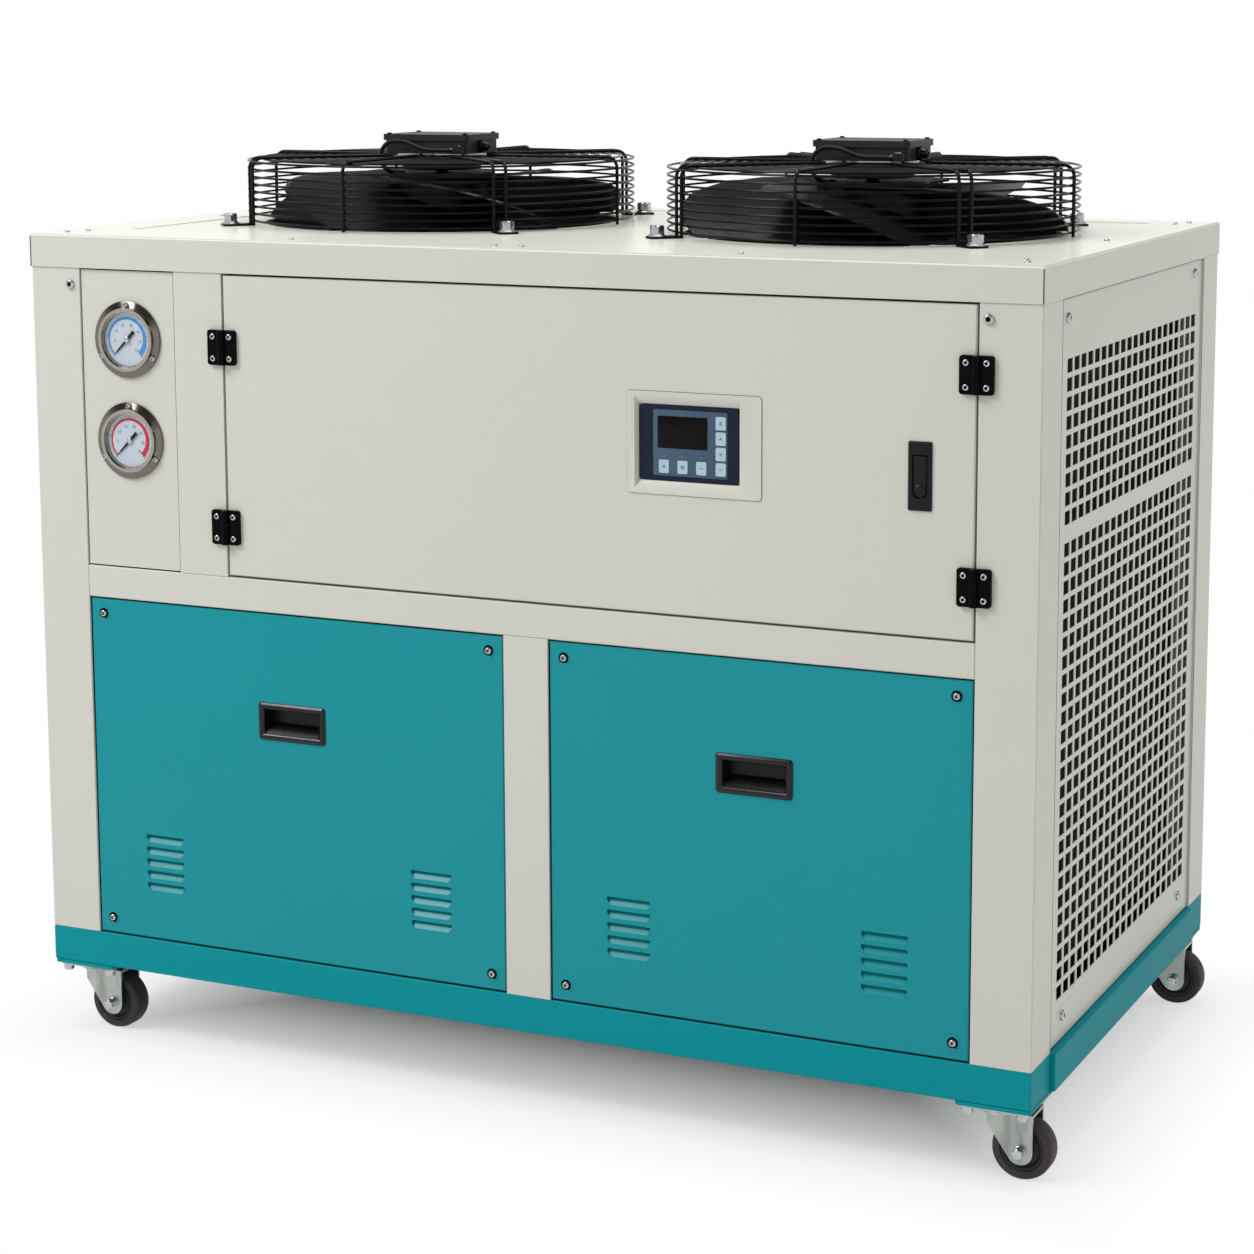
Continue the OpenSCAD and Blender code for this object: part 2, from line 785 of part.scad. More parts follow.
// Folded edges behind the door sheet, one strip a side
fold_gap = 0.2;
module door_returns() {
  y0 = y_front + sheet_t;
  y1 = y_front + door_d;
  color(cream) {
    for (z = [door_z0, door_z1 - sheet_t])
      span([door_x0, y0, z], [door_x1, y1, z + sheet_t]);
    for (x = [door_x0, door_x1 - sheet_t])
      span([x, y0, door_z0 + sheet_t + fold_gap], [x + sheet_t, y1, door_z1 - sheet_t - fold_gap]);
  }
}

// Tray of the bezel: four sloped walls that run in to the face of the controller
tray_gap = 0.6;
module tray_cut() {
  yf = y_front - bezel_t - 1;
  x1 = recess_x0 + recess_w;
  z1 = recess_z0 + recess_h;
  intersection() {
    translate([0, 0, recess_z0]) linear_extrude(recess_h)
      polygon([[recess_x0, yf], [x1, yf], [ctl_x0 + ctl_w + tray_gap, ctl_face + 1],
               [ctl_x0 + ctl_w + tray_gap, recess_y], [ctl_x0 - tray_gap, recess_y],
               [ctl_x0 - tray_gap, ctl_face + 1]]);
    translate([recess_x0, 0, 0]) rotate([90, 0, 90]) linear_extrude(recess_w)
      polygon([[yf, recess_z0], [ctl_face + 1, ctl_z0 - tray_gap], [recess_y, ctl_z0 - tray_gap],
               [recess_y, ctl_z0 + ctl_h + tray_gap], [ctl_face + 1, ctl_z0 + ctl_h + tray_gap], [yf, z1]]);
  }
}

// Moulded bezel: a rounded plate on the door with a shallow tray that holds the controller
module control_bezel() {
  color(cream) difference() {
    union() {
      upright(y_front - bezel_t, bezel_t)
        translate([bezel_x0 + bezel_w / 2, bezel_z0 + bezel_h / 2]) rrect(bezel_w, bezel_h, 5);
      upright(y_front - 1, recess_d + 3)
        translate([recess_x0 + recess_w / 2, recess_z0 + recess_h / 2])
          rrect(recess_w + 4, recess_h + 4, 5);
    }
    tray_cut();
    upright(recess_y - 1, 5)
      translate([ctl_x0 + ctl_w / 2, ctl_z0 + ctl_h / 2]) rrect(ctl_w - 8, ctl_h - 8, 2);
  }
}

screen_w = 70;
screen_h = 42;
module controller() {
  color([0.12, 0.16, 0.27]) difference() {
    union() {
      upright(ctl_face, recess_y - ctl_face)
        translate([ctl_x0 + ctl_w / 2, ctl_z0 + ctl_h / 2]) rrect(ctl_w, ctl_h, 5);
      upright(recess_y - 1, ctl_d)
        translate([ctl_x0 + ctl_w / 2, ctl_z0 + ctl_h / 2]) rrect(ctl_w - 9, ctl_h - 9, 2);
    }
    upright(ctl_face - 1, 2)
      translate([ctl_x0 + ctl_w * 0.513, ctl_z0 + ctl_h / 2]) rrect(ctl_w - 34, ctl_h - 11, 3);
    upright(ctl_face, 2)
      translate([ctl_x0 + ctl_w * 0.437, ctl_z0 + ctl_h * 0.644])
        square([screen_w, screen_h], center = true);
  }
}

// Keys: four down the right of the screen and three along the bottom
key_w = 14;
key_h = 17;
module controller_keys() {
  color([0.78, 0.82, 0.86]) upright(ctl_face - 0.6, 1.6) {
    for (i = [0 : 3])
      translate([ctl_x0 + ctl_w * 0.822, ctl_z0 + ctl_h * (0.188 + 0.202 * i)])
        rrect(key_w, key_h, 2);
    for (i = [0 : 2])
      translate([ctl_x0 + ctl_w * (0.251 + 0.188 * i), ctl_z0 + ctl_h * 0.188])
        rrect(key_w, key_h, 2);
  }
}

// Latch frame with a sunk bay for the lever, and the lever's pin
bay_d = latch_proud + 4;
module latch_frame() {
  bay_h = lever_h + 3;
  color(black) difference() {
    union() {
      difference() {
        union() {
          upright(y_front - latch_proud, latch_proud)
            translate([latch_x, latch_z]) rrect(latch_w, latch_h, 4);
          upright(y_front - 1, 12)
            translate([latch_x, latch_z]) rrect(latch_w - 7, latch_h - 7, 2.5);
        }
        upright(y_front - latch_proud - 1, bay_d + 1)
          translate([latch_x, latch_z]) rrect(lever_w + 2, bay_h, 3);
      }
      translate([latch_x - lever_w / 2 - 2, lever_y, lever_top - lever_t / 2])
        rotate([0, 90, 0]) cylinder(r = 1.2, h = lever_w + 4);
    }
  }
}

// Lever: a flat bar with a barrel at its upper end and a round push button at its lower end
module latch_lever() {
  zc = lever_top - lever_t / 2;
  zb = latch_z - lever_h / 2 + lever_w / 2;
  color(black) difference() {
    union() {
      translate([latch_x - lever_w / 2, lever_y, zc])
        rotate([0, 90, 0]) cylinder(d = lever_t, h = lever_w);
      upright(lever_y - lever_t / 2, lever_t) {
        translate([latch_x - lever_w / 2, zb]) square([lever_w, zc - zb]);
        translate([latch_x, zb]) circle(d = lever_w);
      }
      upright(lever_y - lever_t / 2 - 1.5, 3) translate([latch_x, zb]) circle(d = lever_w - 5);
    }
    translate([latch_x - lever_w, lever_y, zc])
      rotate([0, 90, 0]) cylinder(r = 1.2 + run_fit, h = 2 * lever_w);
  }
}

// Fans, drawn about the fan axis with z = 0 on the lid

module fan_place(s) {
  translate([s * fan_pitch / 2, fan_back, z_top]) children();
}

weld = 1;
plate_r = 88;
ring_r = guard_r - leg_d + weld;
z_bar = guard_h - leg_d;

module wire_ring(r, z) {
  translate([0, 0, z]) rotate_extrude($fn = 128) translate([r - ring_d, 0]) square(ring_d);
}

// One bent wire: up the side and in over the top
module guard_wire() {
  span([guard_r - leg_d, -leg_d / 2, 0], [guard_r, leg_d / 2, guard_h]);
  span([plate_r - 14, -leg_d / 2, z_bar], [guard_r - leg_d / 2, leg_d / 2, guard_h]);
}

module fan_guard() {
  for (i = [0 : side_rings - 1])
    wire_ring(ring_r, leg_d + i * (z_bar - 2 * leg_d) / (side_rings - 1));
  for (i = [0 : top_rings - 1])
    wire_ring(plate_r + 14 + i * (ring_r - plate_r - 14) / top_rings, z_bar - ring_d + weld);
  for (a = [0 : 3]) rotate(45 + 90 * a) {
    for (s = [-1, 1]) translate([0, s * leg_pair / 2, 0]) guard_wire();
    difference() {
      span([guard_r - leg_d, -leg_pair / 2 - leg_d, 0], [foot_r + 13, leg_pair / 2 + leg_d, 3]);
      translate([foot_r, 0, -1]) cylinder(r = 4.5, h = 5);
    }
    rotate(45) guard_wire();
  }
  translate([0, 0, z_bar - 2]) cylinder(r = plate_r, h = 3);
}

module left_fan_guard() { color(black) fan_place(-1) fan_guard(); }
module right_fan_guard() { color(black) fan_place(1) fan_guard(); }

module fan_motors() {
  color(black)
    for (s = [-1, 1]) fan_place(s) {
      translate([0, 0, hub_top + hub_gap]) cylinder(r = motor_r, h = z_bar - 2 - hub_top - hub_gap);
      translate([0, 0, hub_top - shaft_in]) cylinder(r = shaft_r, h = shaft_in + hub_gap + 1);
    }
}

module terminal_boxes() {
  color(black)
    for (s = [-1, 1]) fan_place(s) translate([0, 0, guard_h]) {
      linear_extrude(box_h - 8) rrect(box_w - 6, box_d - 6, 5);
      translate([0, 0, box_h - 9]) linear_extrude(9) rrect(box_w, box_d, 6);
    }
}

// Solid that bounds the blades: clear of the lid outside its opening, domed towards the hub
blade_rest = 4;
module blade_dome() {
  rotate_extrude($fn = 128)
    polygon([[hub_r - 4, hub_top - hub_h], [fan_hole_r - 2 * blade_rest, hub_top - hub_h],
             [fan_hole_r - 2 * blade_rest, blade_rest], [tip_r, blade_rest], [tip_r, hub_top - 52],
             [tip_r - 6, hub_top - 32], [tip_r - 20, hub_top - 18], [tip_r - 50, hub_top - 7], [tip_r - 92, hub_top],
             [hub_r - 4, hub_top]]);
}

// Blade along +x: a thin arc of sheet cut to a swept outline
module fan_blade() {
  intersection() {
    translate([0, 0, blade_z]) rotate([blade_pitch, 0, 0]) translate([0, 0, -camber_r])
      rotate([0, 90, 0]) difference() {
        cylinder(r = camber_r + blade_t / 2, h = tip_r + 40, $fn = 96);
        translate([0, 0, -1]) cylinder(r = camber_r - blade_t / 2, h = tip_r + 42, $fn = 96);
      }
    blade_dome();
    translate([0, 0, -hub_h]) linear_extrude(2 * hub_h) intersection() {
      translate([0, -blade_chord / 2]) square([tip_r + 20, blade_chord]);
      translate([tip_r * 0.42, blade_chord * 0.4]) circle(tip_r * 0.9, $fn = 96);
    }
  }
}

// Rotor: five swept blades on a drum, turned to its place at rest
module fan_rotor(turn) {
  difference() {
    union() {
      translate([0, 0, hub_top - hub_h]) cylinder(r = hub_r, h = hub_h);
      for (i = [0 : blade_n - 1])
        rotate(turn + i * 360 / blade_n) mirror([0, 1, 0]) fan_blade();
    }
    translate([0, 0, hub_top - shaft_in - 2]) cylinder(r = shaft_r + run_fit, h = shaft_in + 3);
  }
}

module left_fan_rotor() { color(black) fan_place(-1) fan_rotor(left_turn); }
module right_fan_rotor() { color(black) fan_place(1) fan_rotor(right_turn); }

// Casters

module caster_plates() {
  color(zinc)
    for (sx = [-1, 1], sy = [-1, 1])
      translate([sx * pad_c[0], sy * pad_c[1], 0]) {
        translate([0, 0, z_plate]) linear_extrude(plate_t) rrect(plate_w, plate_w, 8);
        translate([0, 0, z_race]) cylinder(r = race_r, h = race_h + 1);
        translate([0, 0, z_fork - 3]) cylinder(r = king_r, h = z_race - z_fork + 4);
        translate([0, 0, z_fork - 3]) cylinder(r = king_r + 3, h = 3 - fork_rest);
      }
}

// Fork: a pressed bridge under the race and two legs that trail to the axle
leg_back = 15;
eye_r = 17;
module fork() {
  ya = fork_gap / 2;
  z_hi = z_fork + fork_t;
  difference() {
    union() {
      translate([0, 0, z_fork]) linear_extrude(fork_t) {
        circle(race_r + 1);
        translate([-leg_back, -ya - fork_t]) square([leg_back + trail + eye_r, 2 * (ya + fork_t)]);
      }
      for (s = [0, 1]) mirror([0, s, 0])
        upright(ya, fork_t) {
          polygon([[-leg_back, z_hi], [trail + eye_r, z_hi], [trail + eye_r, wheel_r],
                   [trail, wheel_r - eye_r * 0.7], [trail - eye_r * 0.8, wheel_r - eye_r * 0.6],
                   [-leg_back, z_fork - 14]]);
          translate([trail, wheel_r]) circle(eye_r);
        }
      translate([trail, -ya - fork_t - 5, wheel_r]) rotate([-90, 0, 0])
        cylinder(r = axle_r, h = 2 * (ya + fork_t + 5));
    }
    translate([0, 0, z_fork - 1]) cylinder(r = king_r + fork_rest, h = fork_t + 2);
  }
}

module wheel() {
  translate([trail, 0, wheel_r]) rotate([90, 0, 0]) difference() {
    rotate_extrude($fn = 96)
      polygon([[axle_r + run_fit, -wheel_w / 2 - 3], [axle_r + 6, -wheel_w / 2 - 3],
               [axle_r + 6, -wheel_w / 2 + 3], [wheel_r - 13, -wheel_w / 2 + 3],
               [wheel_r - 12, -wheel_w / 2], [wheel_r - 4, -wheel_w / 2],
               [wheel_r, -wheel_w / 2 + 5], [wheel_r, wheel_w / 2 - 5],
               [wheel_r - 4, wheel_w / 2], [wheel_r - 12, wheel_w / 2],
               [wheel_r - 13, wheel_w / 2 - 3], [axle_r + 6, wheel_w / 2 - 3],
               [axle_r + 6, wheel_w / 2 + 3], [axle_r + run_fit, wheel_w / 2 + 3]]);
  }
}

module caster_place(sx, sy) {
  translate([sx * pad_c[0], sy * pad_c[1], 0]) children();
}

module front_left_fork() { color(zinc) caster_place(-1, -1) fork(); }
module front_right_fork() { color(zinc) caster_place(1, -1) fork(); }
module rear_left_fork() { color(zinc) caster_place(-1, 1) fork(); }
module rear_right_fork() { color(zinc) caster_place(1, 1) fork(); }
module front_left_wheel() { color(black) caster_place(-1, -1) wheel(); }
module front_right_wheel() { color(black) caster_place(1, -1) wheel(); }
module rear_left_wheel() { color(black) caster_place(-1, 1) wheel(); }
module rear_right_wheel() { color(black) caster_place(1, 1) wheel(); }

front_base_rail();
rear_base_rail();
left_base_rail();
right_base_rail();
corner_pads();
floor_pan();
front_left_post();
front_right_post();
rear_left_post();
rear_right_post();
lid();
front_middle_rail();
rear_middle_rail();
front_centre_post();
rear_centre_post();
door_mullion();
gauge_panel();
left_service_panel();
right_service_panel();
left_pull_handle();
right_pull_handle();
right_side_panel();
left_side_panel();
rear_upper_panel();
rear_left_panel();
rear_right_panel();
water_ports();
gauge_cases();
gauge_dials();
gauge_needles();
gauge_lenses();
control_box();
condenser_coils();
frame_hinge_leaves();
left_fan_guard();
right_fan_guard();
fan_motors();
terminal_boxes();
caster_plates();
control_door();
door_returns();
door_hinge_leaves();
control_bezel();
controller();
controller_keys();
latch_frame();
latch_lever();
left_fan_rotor();
right_fan_rotor();
front_left_fork();
front_right_fork();
rear_left_fork();
rear_right_fork();
front_left_wheel();
front_right_wheel();
rear_left_wheel();
rear_right_wheel();
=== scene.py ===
"""Looks of an air cooled water chiller: paint, wire guards, dials, fasteners, casters and studio.

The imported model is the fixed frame. Sizes are in millimetres in the part's own frame
(X right, Y to the rear, Z up, origin on the floor), and turn into metres in Former.make.
"""

import logging
import math
from dataclasses import dataclass, field
from enum import Enum
from typing import Any, Callable, Sequence

import bpy
from mathutils import Matrix, Vector


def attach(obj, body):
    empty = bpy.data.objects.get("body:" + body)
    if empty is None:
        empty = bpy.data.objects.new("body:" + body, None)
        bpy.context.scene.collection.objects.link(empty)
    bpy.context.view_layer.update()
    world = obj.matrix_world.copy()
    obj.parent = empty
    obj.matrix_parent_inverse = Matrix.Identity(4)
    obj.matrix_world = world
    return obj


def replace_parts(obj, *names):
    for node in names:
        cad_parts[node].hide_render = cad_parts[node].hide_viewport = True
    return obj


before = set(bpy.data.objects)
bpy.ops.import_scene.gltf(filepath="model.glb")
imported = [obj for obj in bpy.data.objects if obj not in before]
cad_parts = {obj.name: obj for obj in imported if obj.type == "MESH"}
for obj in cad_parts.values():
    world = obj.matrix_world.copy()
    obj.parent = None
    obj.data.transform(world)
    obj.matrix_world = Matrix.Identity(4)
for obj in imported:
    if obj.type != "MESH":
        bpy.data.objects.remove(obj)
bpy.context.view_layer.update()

MM = 0.001
IMAGE_PX = 1254
GAUGE_X, GAUGE_Z = -577.5, (872.0, 1013.0)
FAN_X = 340.0
CASTER_X, CASTER_Y = 685.0, 370.0
LOG = logging.getLogger("chiller")

Colour = tuple[float, float, float]
Point = tuple[float, float, float]
Loop = list[Vector]


# Shader bench


class Wire:
    """A shader output that takes Python arithmetic: each operator adds one Math node."""

    def __init__(self, bench: "Bench", socket: bpy.types.NodeSocket) -> None:
        """Keeps the socket with the bench that it belongs to."""
        self.bench = bench
        self.socket = socket

    def _math(self, operation: str, first: Any, second: Any, clamp: bool = False) -> "Wire":
        """Adds a Math node.

        Args:
            operation: the node's operation.
            first: its first value, a Wire or a number.
            second: its second value, a Wire or a number.
            clamp: keeps the result between 0 and 1.

        Returns:
            The node's result.
        """
        settings = {"operation": operation, "use_clamp": clamp}
        return self.bench.add("ShaderNodeMath", settings, {0: first, 1: second}).out()

    def __add__(self, other: Any) -> "Wire":
        """Sum."""
        return self._math("ADD", self, other)

    def __radd__(self, other: Any) -> "Wire":
        """Sum, with the wire on the right."""
        return self._math("ADD", other, self)

    def __sub__(self, other: Any) -> "Wire":
        """Difference."""
        return self._math("SUBTRACT", self, other)

    def __rsub__(self, other: Any) -> "Wire":
        """Difference, with the wire on the right."""
        return self._math("SUBTRACT", other, self)

    def __mul__(self, other: Any) -> "Wire":
        """Product."""
        return self._math("MULTIPLY", self, other)

    def __rmul__(self, other: Any) -> "Wire":
        """Product, with the wire on the right."""
        return self._math("MULTIPLY", other, self)

    def __gt__(self, other: Any) -> "Wire":
        """1 where the wire is above the other value."""
        return self._math("GREATER_THAN", self, other)

    def __lt__(self, other: Any) -> "Wire":
        """1 where the wire is below the other value."""
        return self._math("LESS_THAN", self, other)

    def __or__(self, other: Any) -> "Wire":
        """The larger of the two."""
        return self._math("MAXIMUM", self, other)

    def clamp(self) -> "Wire":
        """The wire, kept between 0 and 1."""
        return self._math("ADD", self, 0.0, clamp=True)

    def sine(self) -> "Wire":
        """Sine of the wire."""
        return self._math("SINE", self, 0.0)

    def root(self) -> "Wire":
        """Square root of the wire."""
        return self._math("SQRT", self, 0.0)


class Added:
    """A node on the bench, with its outputs as wires."""

    def __init__(self, bench: "Bench", node: bpy.types.Node) -> None:
        """Keeps the node with its bench."""
        self.bench = bench
        self.node = node

    def out(self, name: int | str = 0) -> Wire:
        """One output of the node, by its name or place."""
        return Wire(self.bench, self.node.outputs[name])


class Bench:
    """The node tree of one material or world."""

    def __init__(self, tree: bpy.types.NodeTree) -> None:
        """Empties the tree."""
        self.tree = tree
        tree.nodes.clear()

    def add(self, kind: str, settings: dict[str, Any] | None = None,
            sockets: dict[int | str, Any] | None = None) -> Added:
        """Adds any node.

        Args:
            kind: the node's type name.
            settings: properties that are set first.
            sockets: values or wires of its inputs, by name or place.

        Returns:
            The node.
        """
        node = self.tree.nodes.new(kind)
        for key, value in (settings or {}).items():
            setattr(node, key, value)
        for key, value in (sockets or {}).items():
            if isinstance(value, Wire):
                self.tree.links.new(value.socket, node.inputs[key])
            else:
                node.inputs[key].default_value = value
        return Added(self, node)

    def place(self, stretch: Point = (1.0, 1.0, 1.0)) -> Wire:
        """Position on the part.

        Args:
            stretch: scale along each axis.

        Returns:
            The position in metres.
        """
        coords = self.add("ShaderNodeTexCoord").out("Object")
        scaled = self.add("ShaderNodeVectorMath", {"operation": "MULTIPLY"}, {0: coords, 1: stretch})
        return scaled.out()

    def noise(self, scale: float, detail: float = 2.0, stretch: Point = (1.0, 1.0, 1.0)) -> Wire:
        """Soft noise around 0.5.

        Args:
            scale: grains to the metre.
            detail: finer layers.
            stretch: scale along each axis.

        Returns:
            The noise value.
        """
        sockets = {"Vector": self.place(stretch), "Scale": scale, "Detail": detail}
        return self.add("ShaderNodeTexNoise", None, sockets).out(0)

    def spots(self, scale: float, edge: float) -> Wire:
        """Sparse round spots.

        Args:
            scale: cells to the metre, with a spot in each.
            edge: radius of a spot, in cells.

        Returns:
            1 inside a spot and 0 outside.
        """
        sockets = {"Vector": self.place(), "Scale": scale}
        distance = self.add("ShaderNodeTexVoronoi", None, sockets).out("Distance")
        return distance < edge

    def blend(self, factor: Any, first: Any, second: Any) -> Wire:
        """Mixes two colours.

        Args:
            factor: share of the second colour, a Wire or a number.
            first: the first colour, or a Wire.
            second: the second colour, or a Wire.

        Returns:
            The mixed colour.
        """
        first, second = (c if isinstance(c, Wire) else (*c, 1.0) for c in (first, second))
        settings = {"data_type": "RGBA", "blend_type": "MIX", "clamp_factor": True}
        return self.add("ShaderNodeMix", settings, {0: factor, 6: first, 7: second}).out(2)

    def bump(self, height: Wire, strength: float, depth_mm: float) -> Wire:
        """Normal of a surface with that relief."""
        sockets = {"Height": height, "Strength": strength, "Distance": depth_mm * MM}
        return self.add("ShaderNodeBump", None, sockets).out()

    def surface(self, sockets: dict[int | str, Any]) -> None:
        """Ends the material in one Principled shader with these sockets."""
        shader = self.add("ShaderNodeBsdfPrincipled", None, sockets).out()
        self.add("ShaderNodeOutputMaterial", None, {"Surface": shader})


# Finishes


@dataclass(frozen=True)
class Finish:
    """A surface finish that makes its material once."""

    name: str

    def material(self) -> bpy.types.Material:
        """Makes the material at its first use.

        Returns:
            The material of this finish.
        """
        found = bpy.data.materials.get(self.name)
        if found:
            return found
        made = bpy.data.materials.new(self.name)
        made.use_nodes = True
        self.dress(Bench(made.node_tree))
        return made

    def dress(self, bench: Bench) -> None:
        """Builds the material's nodes."""
        raise NotImplementedError


@dataclass(frozen=True)
class PowderCoat(Finish):
    """Baked powder paint: fine orange peel, faint clouds, rub marks and dust specks."""

    colour: Colour
    worn: Colour
    roughness: float = 0.3
    cloud: float = 0.05
    peel_mm: float = 0.04
    gloss: float = 0.3

    def dress(self, bench: Bench) -> None:
        """Builds the paint.

        Args:
            bench: the material's node tree.
        """
        cloud = bench.noise(2.2, 3.0)
        streak = bench.noise(9.0, 4.0, (1.0, 1.0, 0.12))
        rub = (bench.noise(14.0, 6.0, (1.0, 1.0, 2.5)) - 0.6).clamp() * 1.6
        speck = bench.spots(26.0, 0.035) * (bench.noise(5.0, 1.0) > 0.56)
        tone = bench.blend((cloud - 0.5) * self.cloud * 4 + 0.5 * self.cloud + streak * self.cloud,
                           self.colour, tuple(c * 0.86 for c in self.colour))
        tone = bench.blend((rub + speck * 0.3) * 0.14, tone, self.worn)
        peel = bench.noise(420.0, 2.0)
        bench.surface({
            "Base Color": tone,
            "Roughness": (cloud - 0.5) * 0.1 + rub * 0.05 + self.roughness,
            "Normal": bench.bump(peel, 0.35, self.peel_mm),
            "Specular IOR Level": self.gloss,
        })


@dataclass(frozen=True)
class PlatedSteel(Finish):
    """Zinc plate or bright steel: drawn lines, cloudy gloss and faint tarnish."""

    colour: Colour
    tarnish: Colour
    roughness: float = 0.3
    amount: float = 0.35
    streak: float = 0.0
    grain: Point = (1.0, 1.0, 0.08)

    def dress(self, bench: Bench) -> None:
        """Builds the plate.

        Args:
            bench: the material's node tree.
        """
        cloud = bench.noise(38.0, 4.0)
        run = ((bench.noise(40.0, 3.0, (1.0, 1.0, 0.25)) - 0.36) * 3.4).clamp()
        tone = bench.blend(run * self.streak, self.colour, tuple(c * 0.42 for c in self.colour))
        lines = bench.noise(700.0, 2.0, self.grain)
        stain = (bench.noise(22.0, 5.0) - 0.5).clamp() * 2.4
        bench.surface({
            "Base Color": bench.blend(stain * self.amount, tone, self.tarnish),
            "Metallic": 1.0,
            "Roughness": (cloud - 0.5) * 0.25 + (lines - 0.5) * 0.12 + stain * 0.12 + self.roughness,
            "Normal": bench.bump(lines, 0.12, 0.05),
        })


@dataclass(frozen=True)
class TurnedSteel(Finish):
    """Turned gauge cases: a dished, tinted flange with fine rings and a polished ring at the glass."""

    flange: Colour
    ring: Colour
    x: float
    heights: tuple[float, float]
    ring_r: float
    pitch_mm: float = 0.7
    ring_mm: float = 0.01
    dish: float = 0.46
    roughness: float = 0.12

    def dress(self, bench: Bench) -> None:
        """Builds the steel round the axes of both gauges.

        Args:
            bench: the material's node tree.
        """
        split = bench.add("ShaderNodeSeparateXYZ", None, {0: bench.place()})
        low, high = (h * MM for h in self.heights)
        across = split.out("X") - self.x * MM
        upper = split.out("Z") > (low + high) / 2
        height = split.out("Z") - low - upper * (high - low)
        radius = (across * across + height * height).root()
        rings = (radius * (2 * math.pi / (self.pitch_mm * MM))).sine() * 0.5 + 0.5
        cloud = bench.noise(60.0, 3.0)
        tint = bench.blend(cloud * 0.5, self.flange, tuple(c * 0.7 for c in self.flange))
        inside = radius < self.ring_r * MM
        relief = rings * (self.ring_mm * MM) - radius * self.dish * (1.0 - inside)
        bench.surface({
            "Base Color": bench.blend(inside, tint, self.ring),
            "Metallic": 1.0,
            "Roughness": (cloud - 0.5) * 0.1 + self.roughness,
            "Normal": bench.bump(relief, 1.0, 1.0 / MM),
        })


@dataclass(frozen=True)
class Moulded(Finish):
    """Moulded plastic or black stoved paint with a fine even texture."""

    colour: Colour
    dust: Colour
    roughness: float = 0.42
    grain: float = 900.0
    grain_mm: float = 0.06
    dusty: float = 0.2
    gloss: float = 0.4

    def dress(self, bench: Bench) -> None:
        """Builds the moulding.

        Args:
            bench: the material's node tree.
        """
        grain = bench.noise(self.grain, 2.0)
        cloud = bench.noise(18.0, 4.0)
        film = (bench.noise(60.0, 5.0) - 0.45).clamp() * 1.8
        bench.surface({
            "Base Color": bench.blend(film * self.dusty, self.colour, self.dust),
            "Roughness": (cloud - 0.5) * 0.1 + film * 0.1 + self.roughness,
            "Normal": bench.bump(grain, 0.3, self.grain_mm),
            "Specular IOR Level": self.gloss,
        })


@dataclass(frozen=True)
class TyreRubber(Finish):
    """Dark rubber with a brown bloom and dust from rolling."""

    colour: Colour
    bloom: Colour

    def dress(self, bench: Bench) -> None:
        """Builds the rubber.

        Args:
            bench: the material's node tree.
        """
        cloud = bench.noise(30.0, 5.0)
        scuff = (bench.noise(160.0, 4.0) - 0.52).clamp() * 3.0
        bench.surface({
            "Base Color": bench.blend(cloud * 0.8 + scuff * 0.3, self.colour, self.bloom),
            "Roughness": scuff * 0.15 + 0.55,
            "Normal": bench.bump(bench.noise(600.0, 3.0) + scuff, 0.4, 0.12),
            "Specular IOR Level": 0.2,
        })


@dataclass(frozen=True)
class FinBlock(Finish):
    """Condenser block: bright fins that stand close together, with painted shade for the dark gaps between them."""

    fin: Colour
    # Painted shade: colour of the gaps between the fins.
    gap: Colour
    pitch_mm: float = 3.2
    tube_mm: float = 25.0

    def dress(self, bench: Bench) -> None:
        """Builds the fins as fine upright stripes crossed by rows of tube.

        Args:
            bench: the material's node tree.
        """
        split = bench.add("ShaderNodeSeparateXYZ", None, {0: bench.place()})
        across, up = split.out("Y"), split.out("Z")
        stripe = (across * (2 * math.pi / (self.pitch_mm * MM))).sine() * 0.5 + 0.5
        tube = (up * (2 * math.pi / (self.tube_mm * MM))).sine() * 0.5 + 0.5
        dark_patches = bench.noise(9.0, 5.0)
        # Painted shade: stripes of gap colour between the fins, and darker in that colour at random patches and along
        # the tube rows.
        tone = bench.blend(stripe * 0.75, self.gap, self.fin)
        tone = bench.blend((dark_patches - 0.35).clamp() * 1.1 + tube * 0.15, tone, self.gap)
        bench.surface({
            "Base Color": tone,
            "Metallic": stripe * 0.25,
            "Roughness": dark_patches * 0.3 + 0.5,
            "Normal": bench.bump(stripe, 0.8, 1.2),
            "Specular IOR Level": 0.06,
        })


@dataclass(frozen=True)
class DialCard(Finish):
    """Printed card or enamel under glass: almost even, with a soft tooth."""

    colour: Colour
    shade: Colour
    roughness: float = 0.5
    gloss: float = 0.1

    def dress(self, bench: Bench) -> None:
        """Builds the card.

        Args:
            bench: the material's node tree.
        """
        tooth = bench.noise(1400.0, 2.0)
        cloud = bench.noise(45.0, 3.0)
        bench.surface({
            "Base Color": bench.blend(cloud * 0.5 + (tooth - 0.5) * 0.3, self.colour, self.shade),
            "Roughness": (cloud - 0.5) * 0.2 + self.roughness,
            "Normal": bench.bump(tooth, 0.1, 0.03),
            "Specular IOR Level": self.gloss,
        })


@dataclass(frozen=True)
class ClearGlass(Finish):
    """Thin clear glass with a trace of dust."""

    colour: Colour = (0.9, 0.95, 0.95)
    cover: float = 0.01

    def dress(self, bench: Bench) -> None:
        """Builds the glass.

        Args:
            bench: the material's node tree.
        """
        dust = (bench.noise(120.0, 4.0) - 0.5).clamp()
        bench.surface({
            "Base Color": (*self.colour, 1.0),
            "Roughness": dust * 0.2 + 0.04,
            "Alpha": dust * 0.04 + self.cover,
            "Specular IOR Level": 0.08,
        })


